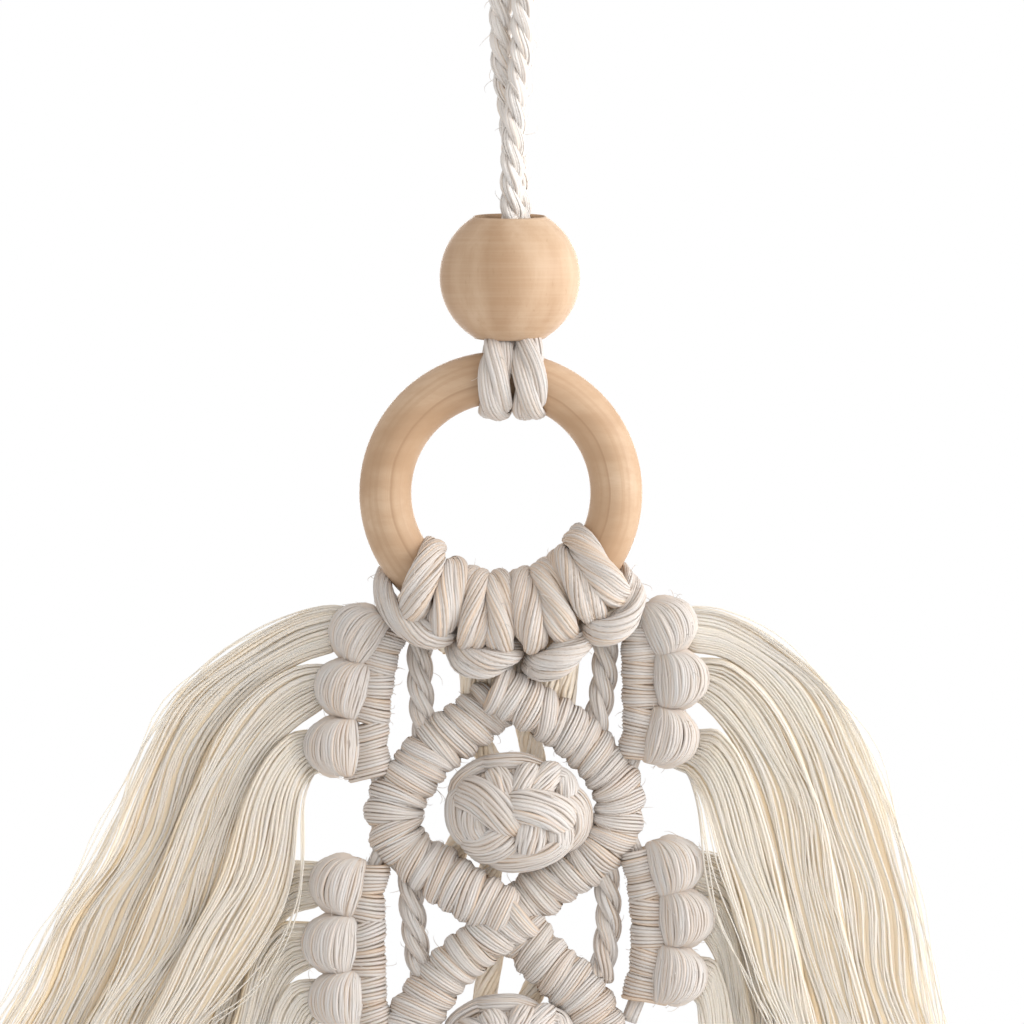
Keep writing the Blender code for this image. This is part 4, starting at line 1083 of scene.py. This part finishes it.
def swayed(paths, start, across, own, depthwise=0.0):
    """Long waves shared by neighbours, quiet along the outline, and a little of each yarn's own."""
    n, steps = paths.shape[:2]
    run = run_of(paths)
    lateral = unit(np.cross(unit(np.gradient(paths, axis=1)), -FRONT))
    quiet = np.clip(np.minimum(across, 1 - across) * 3 + 0.12, 0, 1)[:, None]
    sway = 0.75 * quiet * np.sin(TAU * (run / 39 + start + 0.55 * across[:, None]))
    sway += 0.35 * quiet * np.sin(TAU * (run / 24 + 2 * start + 1.4 * across[:, None]))
    pace = dice.uniform(22, 50, (n, 1))
    sway += dice.uniform(0.3, 1.0, (n, 1)) * own * np.sin(
        TAU * (run / pace + dice.uniform(0, 1, (n, 1))))
    grow = np.clip((run - 10) / 30, 0, 1)
    paths = paths + lateral * (sway * grow)[..., None]
    paths[..., 1] += grow * wander(n, steps, depthwise, (2, 4))
    return paths


def fringe_seats(outer, inner):
    """Where each yarn of a head's fringe lies across it and in depth, and its shade: deeper layers
    get painted golden glow, outline yarns and wisps painted grey shade.
    """
    across, depth, pale = [], [], []
    for count, level, shade in FRINGE_LAYERS:
        here = (np.arange(count) + dice.uniform(0.15, 0.85, count)) / count
        across.append(here ** 0.65 if outer else 1 - (1 - here) ** 0.8 if inner else here)
        depth.append(np.full(count, level) + 0.06 * here)
        # painted shade: on an outline head the outermost yarns take higher shades, which are greyer
        pale.append(dice.uniform(shade, shade + 0.34, count) + 0.3 * outer * np.exp(-here * 5))
    edge = (-0.07, 0.12) if outer else (0.9, 1.4) if inner else (0.0, 1.0)
    across.append(dice.uniform(*edge, FRINGE_WISPS))
    depth.append(dice.uniform(-1.3, -1.1, FRINGE_WISPS))
    # painted shade: the wisps take the top shade, grey
    pale.append(np.full(FRINGE_WISPS, 1.0))
    return (np.concatenate(v) for v in (across, depth, pale))


def combed_fringe(name):
    """Yarns combed out of one head in thin layers, over flatter locks of finer fibre."""
    outer, inner = HEADS[name].above in OUTLINE_LINES, HEADS[name].below in INMOST_LINES
    across, depth, pale = fringe_seats(outer, inner)
    n = len(across)
    wisp = np.arange(n) >= n - FRINGE_WISPS
    start = dice.uniform(0, 1)
    paths = fringe_routes(name, across, depth, dice.normal(0, 0.025, n))
    paths = swayed(paths, start, across, (0.4 + 0.5 * wisp)[:, None], 0.02)
    facing = np.broadcast_to(np.where(depth < 0, 1.0, -1.0)[:, None, None] * FRONT, paths.shape)
    t = np.linspace(0, 1, FRINGE_STEPS)
    radius = np.where(wisp, 0.11, dice.uniform(0.2, 0.3, n))[:, None]
    radius = radius * np.interp(t, (0, 0.2, 0.45, 0.9, 1), (1.4, 1.3, 1.0, 1.0, 0.5))
    basket = Basket()
    basket.yarn(paths, facing, radius, pale, form=HAIR_RIDGE, groove=0.12)
    basket.make("combed_" + name, COMBED_COTTON, "fringe_" + name)
    n = FRINGE_LOCKS
    low, high = 0.3 if outer else 0.06, 0.8 if inner else 0.96
    across = low + (high - low) * (np.arange(n) + dice.uniform(0.35, 0.65, n)) / n
    paths = fringe_routes(name, across, np.where(np.arange(n) % 2, -0.68, -0.62), np.zeros(n))
    paths = swayed(paths, start, across, 0.2)
    gap = np.linalg.norm(np.diff(paths, axis=0), axis=-1)
    gap = 0.5 * (np.vstack([gap[:1], gap]) + np.vstack([gap, gap[-1:]]))
    wide = np.clip(0.62 * gap, 0.3, 1.5) * np.interp(t, (0, 0.9, 1), (1, 1, 0.3))
    basket = Basket()
    basket.yarn(paths, np.broadcast_to(FRONT, paths.shape), wide, np.full(n, 0.5), form=FLAT_LOCK)
    basket.make("under_locks_" + name, UNDER_COTTON, "fringe_" + name)


def side_heads():
    for name, head in HEADS.items():
        basket = Basket()
        head_wraps(basket, head)
        head_bight(basket, head)
        basket.stray(24)
        basket.make("head_" + name, node="fringe_" + name)
        combed_fringe(name)
    basket = Basket()
    for route in OUTER_CORDS:
        lay_strand(basket, through(route, 24), 1.5, 1.5, 12, 0.3)
    basket.make("outer_cords")


# ---- bottom tassel ----
TASSEL_X = 0.2
TASSEL_TOP = 240.2
TASSEL_HEAD = 15.0
TASSEL_TIP = 340.0
TASSEL_TURNS = 26
TASSEL_YARNS = 300
TASSEL_STEPS = 18
TASSEL_SPREAD = (
    # half width, half depth, drop below the head
    (4.6, 3.9, -3), (5.4, 4.4, 4), (7.2, 5.4, 30), (9.2, 6.2, 60),
)


def tassel_wraps():
    basket = Basket()
    line = through(((TASSEL_X, TASSEL_TOP), (TASSEL_X, TASSEL_TOP + TASSEL_HEAD)), 12)
    lay_core(basket, line, *carried(line, (1, 0, 0)), 5.4, 4.5, 12)
    phi = TAU * np.arange(28) / 28
    level = np.linspace(0.4, TASSEL_HEAD - 0.4, TASSEL_TURNS)[:, None]
    crest = 1 - 0.09 * np.cos(TAU * level / TASSEL_HEAD * 5) ** 2
    paths = np.stack([TASSEL_X + 5.8 * crest * np.cos(phi), 4.9 * crest * np.sin(phi),
                      -(TASSEL_TOP + level) + 0.3 * np.sin(phi)], -1)
    outward = unit(paths * np.array((1, 1, 0)) - np.array((TASSEL_X, 0, 0)))
    basket.yarn(paths, outward, 0.42, shades_of(TASSEL_TURNS), closed=True)
    basket.make("tassel_wraps", node="bottom_tassel")


def tassel_fringe():
    n, steps = TASSEL_YARNS, TASSEL_STEPS
    a = dice.uniform(0, TAU, n)
    spread = np.sqrt(dice.uniform(0, 1, n))
    foot = TASSEL_TOP + TASSEL_HEAD
    stations = []
    for reach_x, reach_y, low in TASSEL_SPREAD:
        stations.append(np.stack([TASSEL_X + reach_x * spread * np.cos(a),
                                  reach_y * spread * np.sin(a), np.full(n, -(foot + low))], 1))
    tip = TASSEL_TIP - dice.uniform(0, 8, n)
    stations.append(np.stack([TASSEL_X + 10.4 * spread * np.cos(a), 6.6 * spread * np.sin(a),
                              -tip], 1))
    paths = np.stack([smooth_line(s, steps) for s in np.stack(stations, 1)])
    grow = np.linspace(0, 1, steps)
    paths[..., 0] += grow * wander(n, steps, 0.7, (1, 3))
    paths[..., 1] += grow * wander(n, steps, 0.5, (1, 3))
    outward = unit(np.stack([np.cos(a), np.sin(a), 0 * a], 1))[:, None]
    basket = Basket()
    basket.yarn(paths, np.broadcast_to(outward, paths.shape), 0.31, shades_of(n, 0.1, 1.0),
                form=ROUND_YARN, groove=0.1)
    basket.make("tassel_fringe", COMBED_COTTON, "bottom_tassel", faceted=True)


# ---- studio ----
WORLD_STRENGTH = 0.9
FLOOR_HALF = 1.6
FLOOR_Z = -0.43
LAMPS = (
    # name, place, aim, size, power
    ("front_right", (0.6, -0.8, 0.4), (0.0, 0.0, -0.15), 0.6, 1.4),
    ("right_side", (0.9, -0.22, 0.12), (0.02, 0.0, -0.12), 0.7, 9.0),
    ("behind", (0.0, 1.2, -0.1), (0.0, 0.0, -0.15), 0.9, 9.0),
)


def soft_light(name, place, aim, size, power):
    lamp = bpy.data.lights.new(name, "AREA")
    lamp.shape = "DISK"
    lamp.size = size
    lamp.energy = power
    made = bpy.data.objects.new(name, lamp)
    bpy.context.scene.collection.objects.link(made)
    made.location = place
    away = Vector(aim) - Vector(place)
    made.rotation_euler = away.to_track_quat("-Z", "Y").to_euler()


def white_world():
    """A white surround for the camera, a little weaker as light."""
    world = bpy.data.worlds.new("white_studio")
    bpy.context.scene.world = world
    world.use_nodes = True
    tree = world.node_tree
    back = tree.nodes["Background"]
    back.inputs["Color"].default_value = (1.0, 1.0, 1.0, 1.0)
    rays = tree.nodes.new("ShaderNodeLightPath")
    strength = tree.nodes.new("ShaderNodeMapRange")
    strength.inputs["To Min"].default_value = WORLD_STRENGTH
    tree.links.new(rays.outputs["Is Camera Ray"], strength.inputs["Value"])
    tree.links.new(strength.outputs["Result"], back.inputs["Strength"])


def pale_floor():
    bm = bmesh.new()
    bmesh.ops.create_grid(bm, x_segments=8, y_segments=8, size=FLOOR_HALF)
    bmesh.ops.translate(bm, verts=bm.verts, vec=(0.0, 0.0, FLOOR_Z))
    mesh = bpy.data.meshes.new("studio_floor")
    bm.to_mesh(mesh)
    bm.free()
    floor = bpy.data.objects.new("studio_floor", mesh)
    bpy.context.scene.collection.objects.link(floor)
    pale = Finish("pale_floor", 0.8)
    fleck = pale.noise(pale.node("ShaderNodeTexCoord").outputs["Object"], 6.0)
    pale.paint(pale.ramp(fleck, ((0.3, (0.86, 0.86, 0.86)), (0.7, (0.90, 0.90, 0.90)))))
    mesh.materials.append(pale.material)


def studio():
    bpy.context.scene.view_settings.view_transform = "Standard"
    bpy.context.scene.view_settings.look = "None"
    white_world()
    pale_floor()
    for lamp in LAMPS:
        soft_light(*lamp)


ring_hitch()
wooden_bead()
wooden_ring()
ring_knots()
tucked_cords()
diamond_bars()
linking_cords()
berry_knots()
side_heads()
tassel_wraps()
tassel_fringe()
studio()
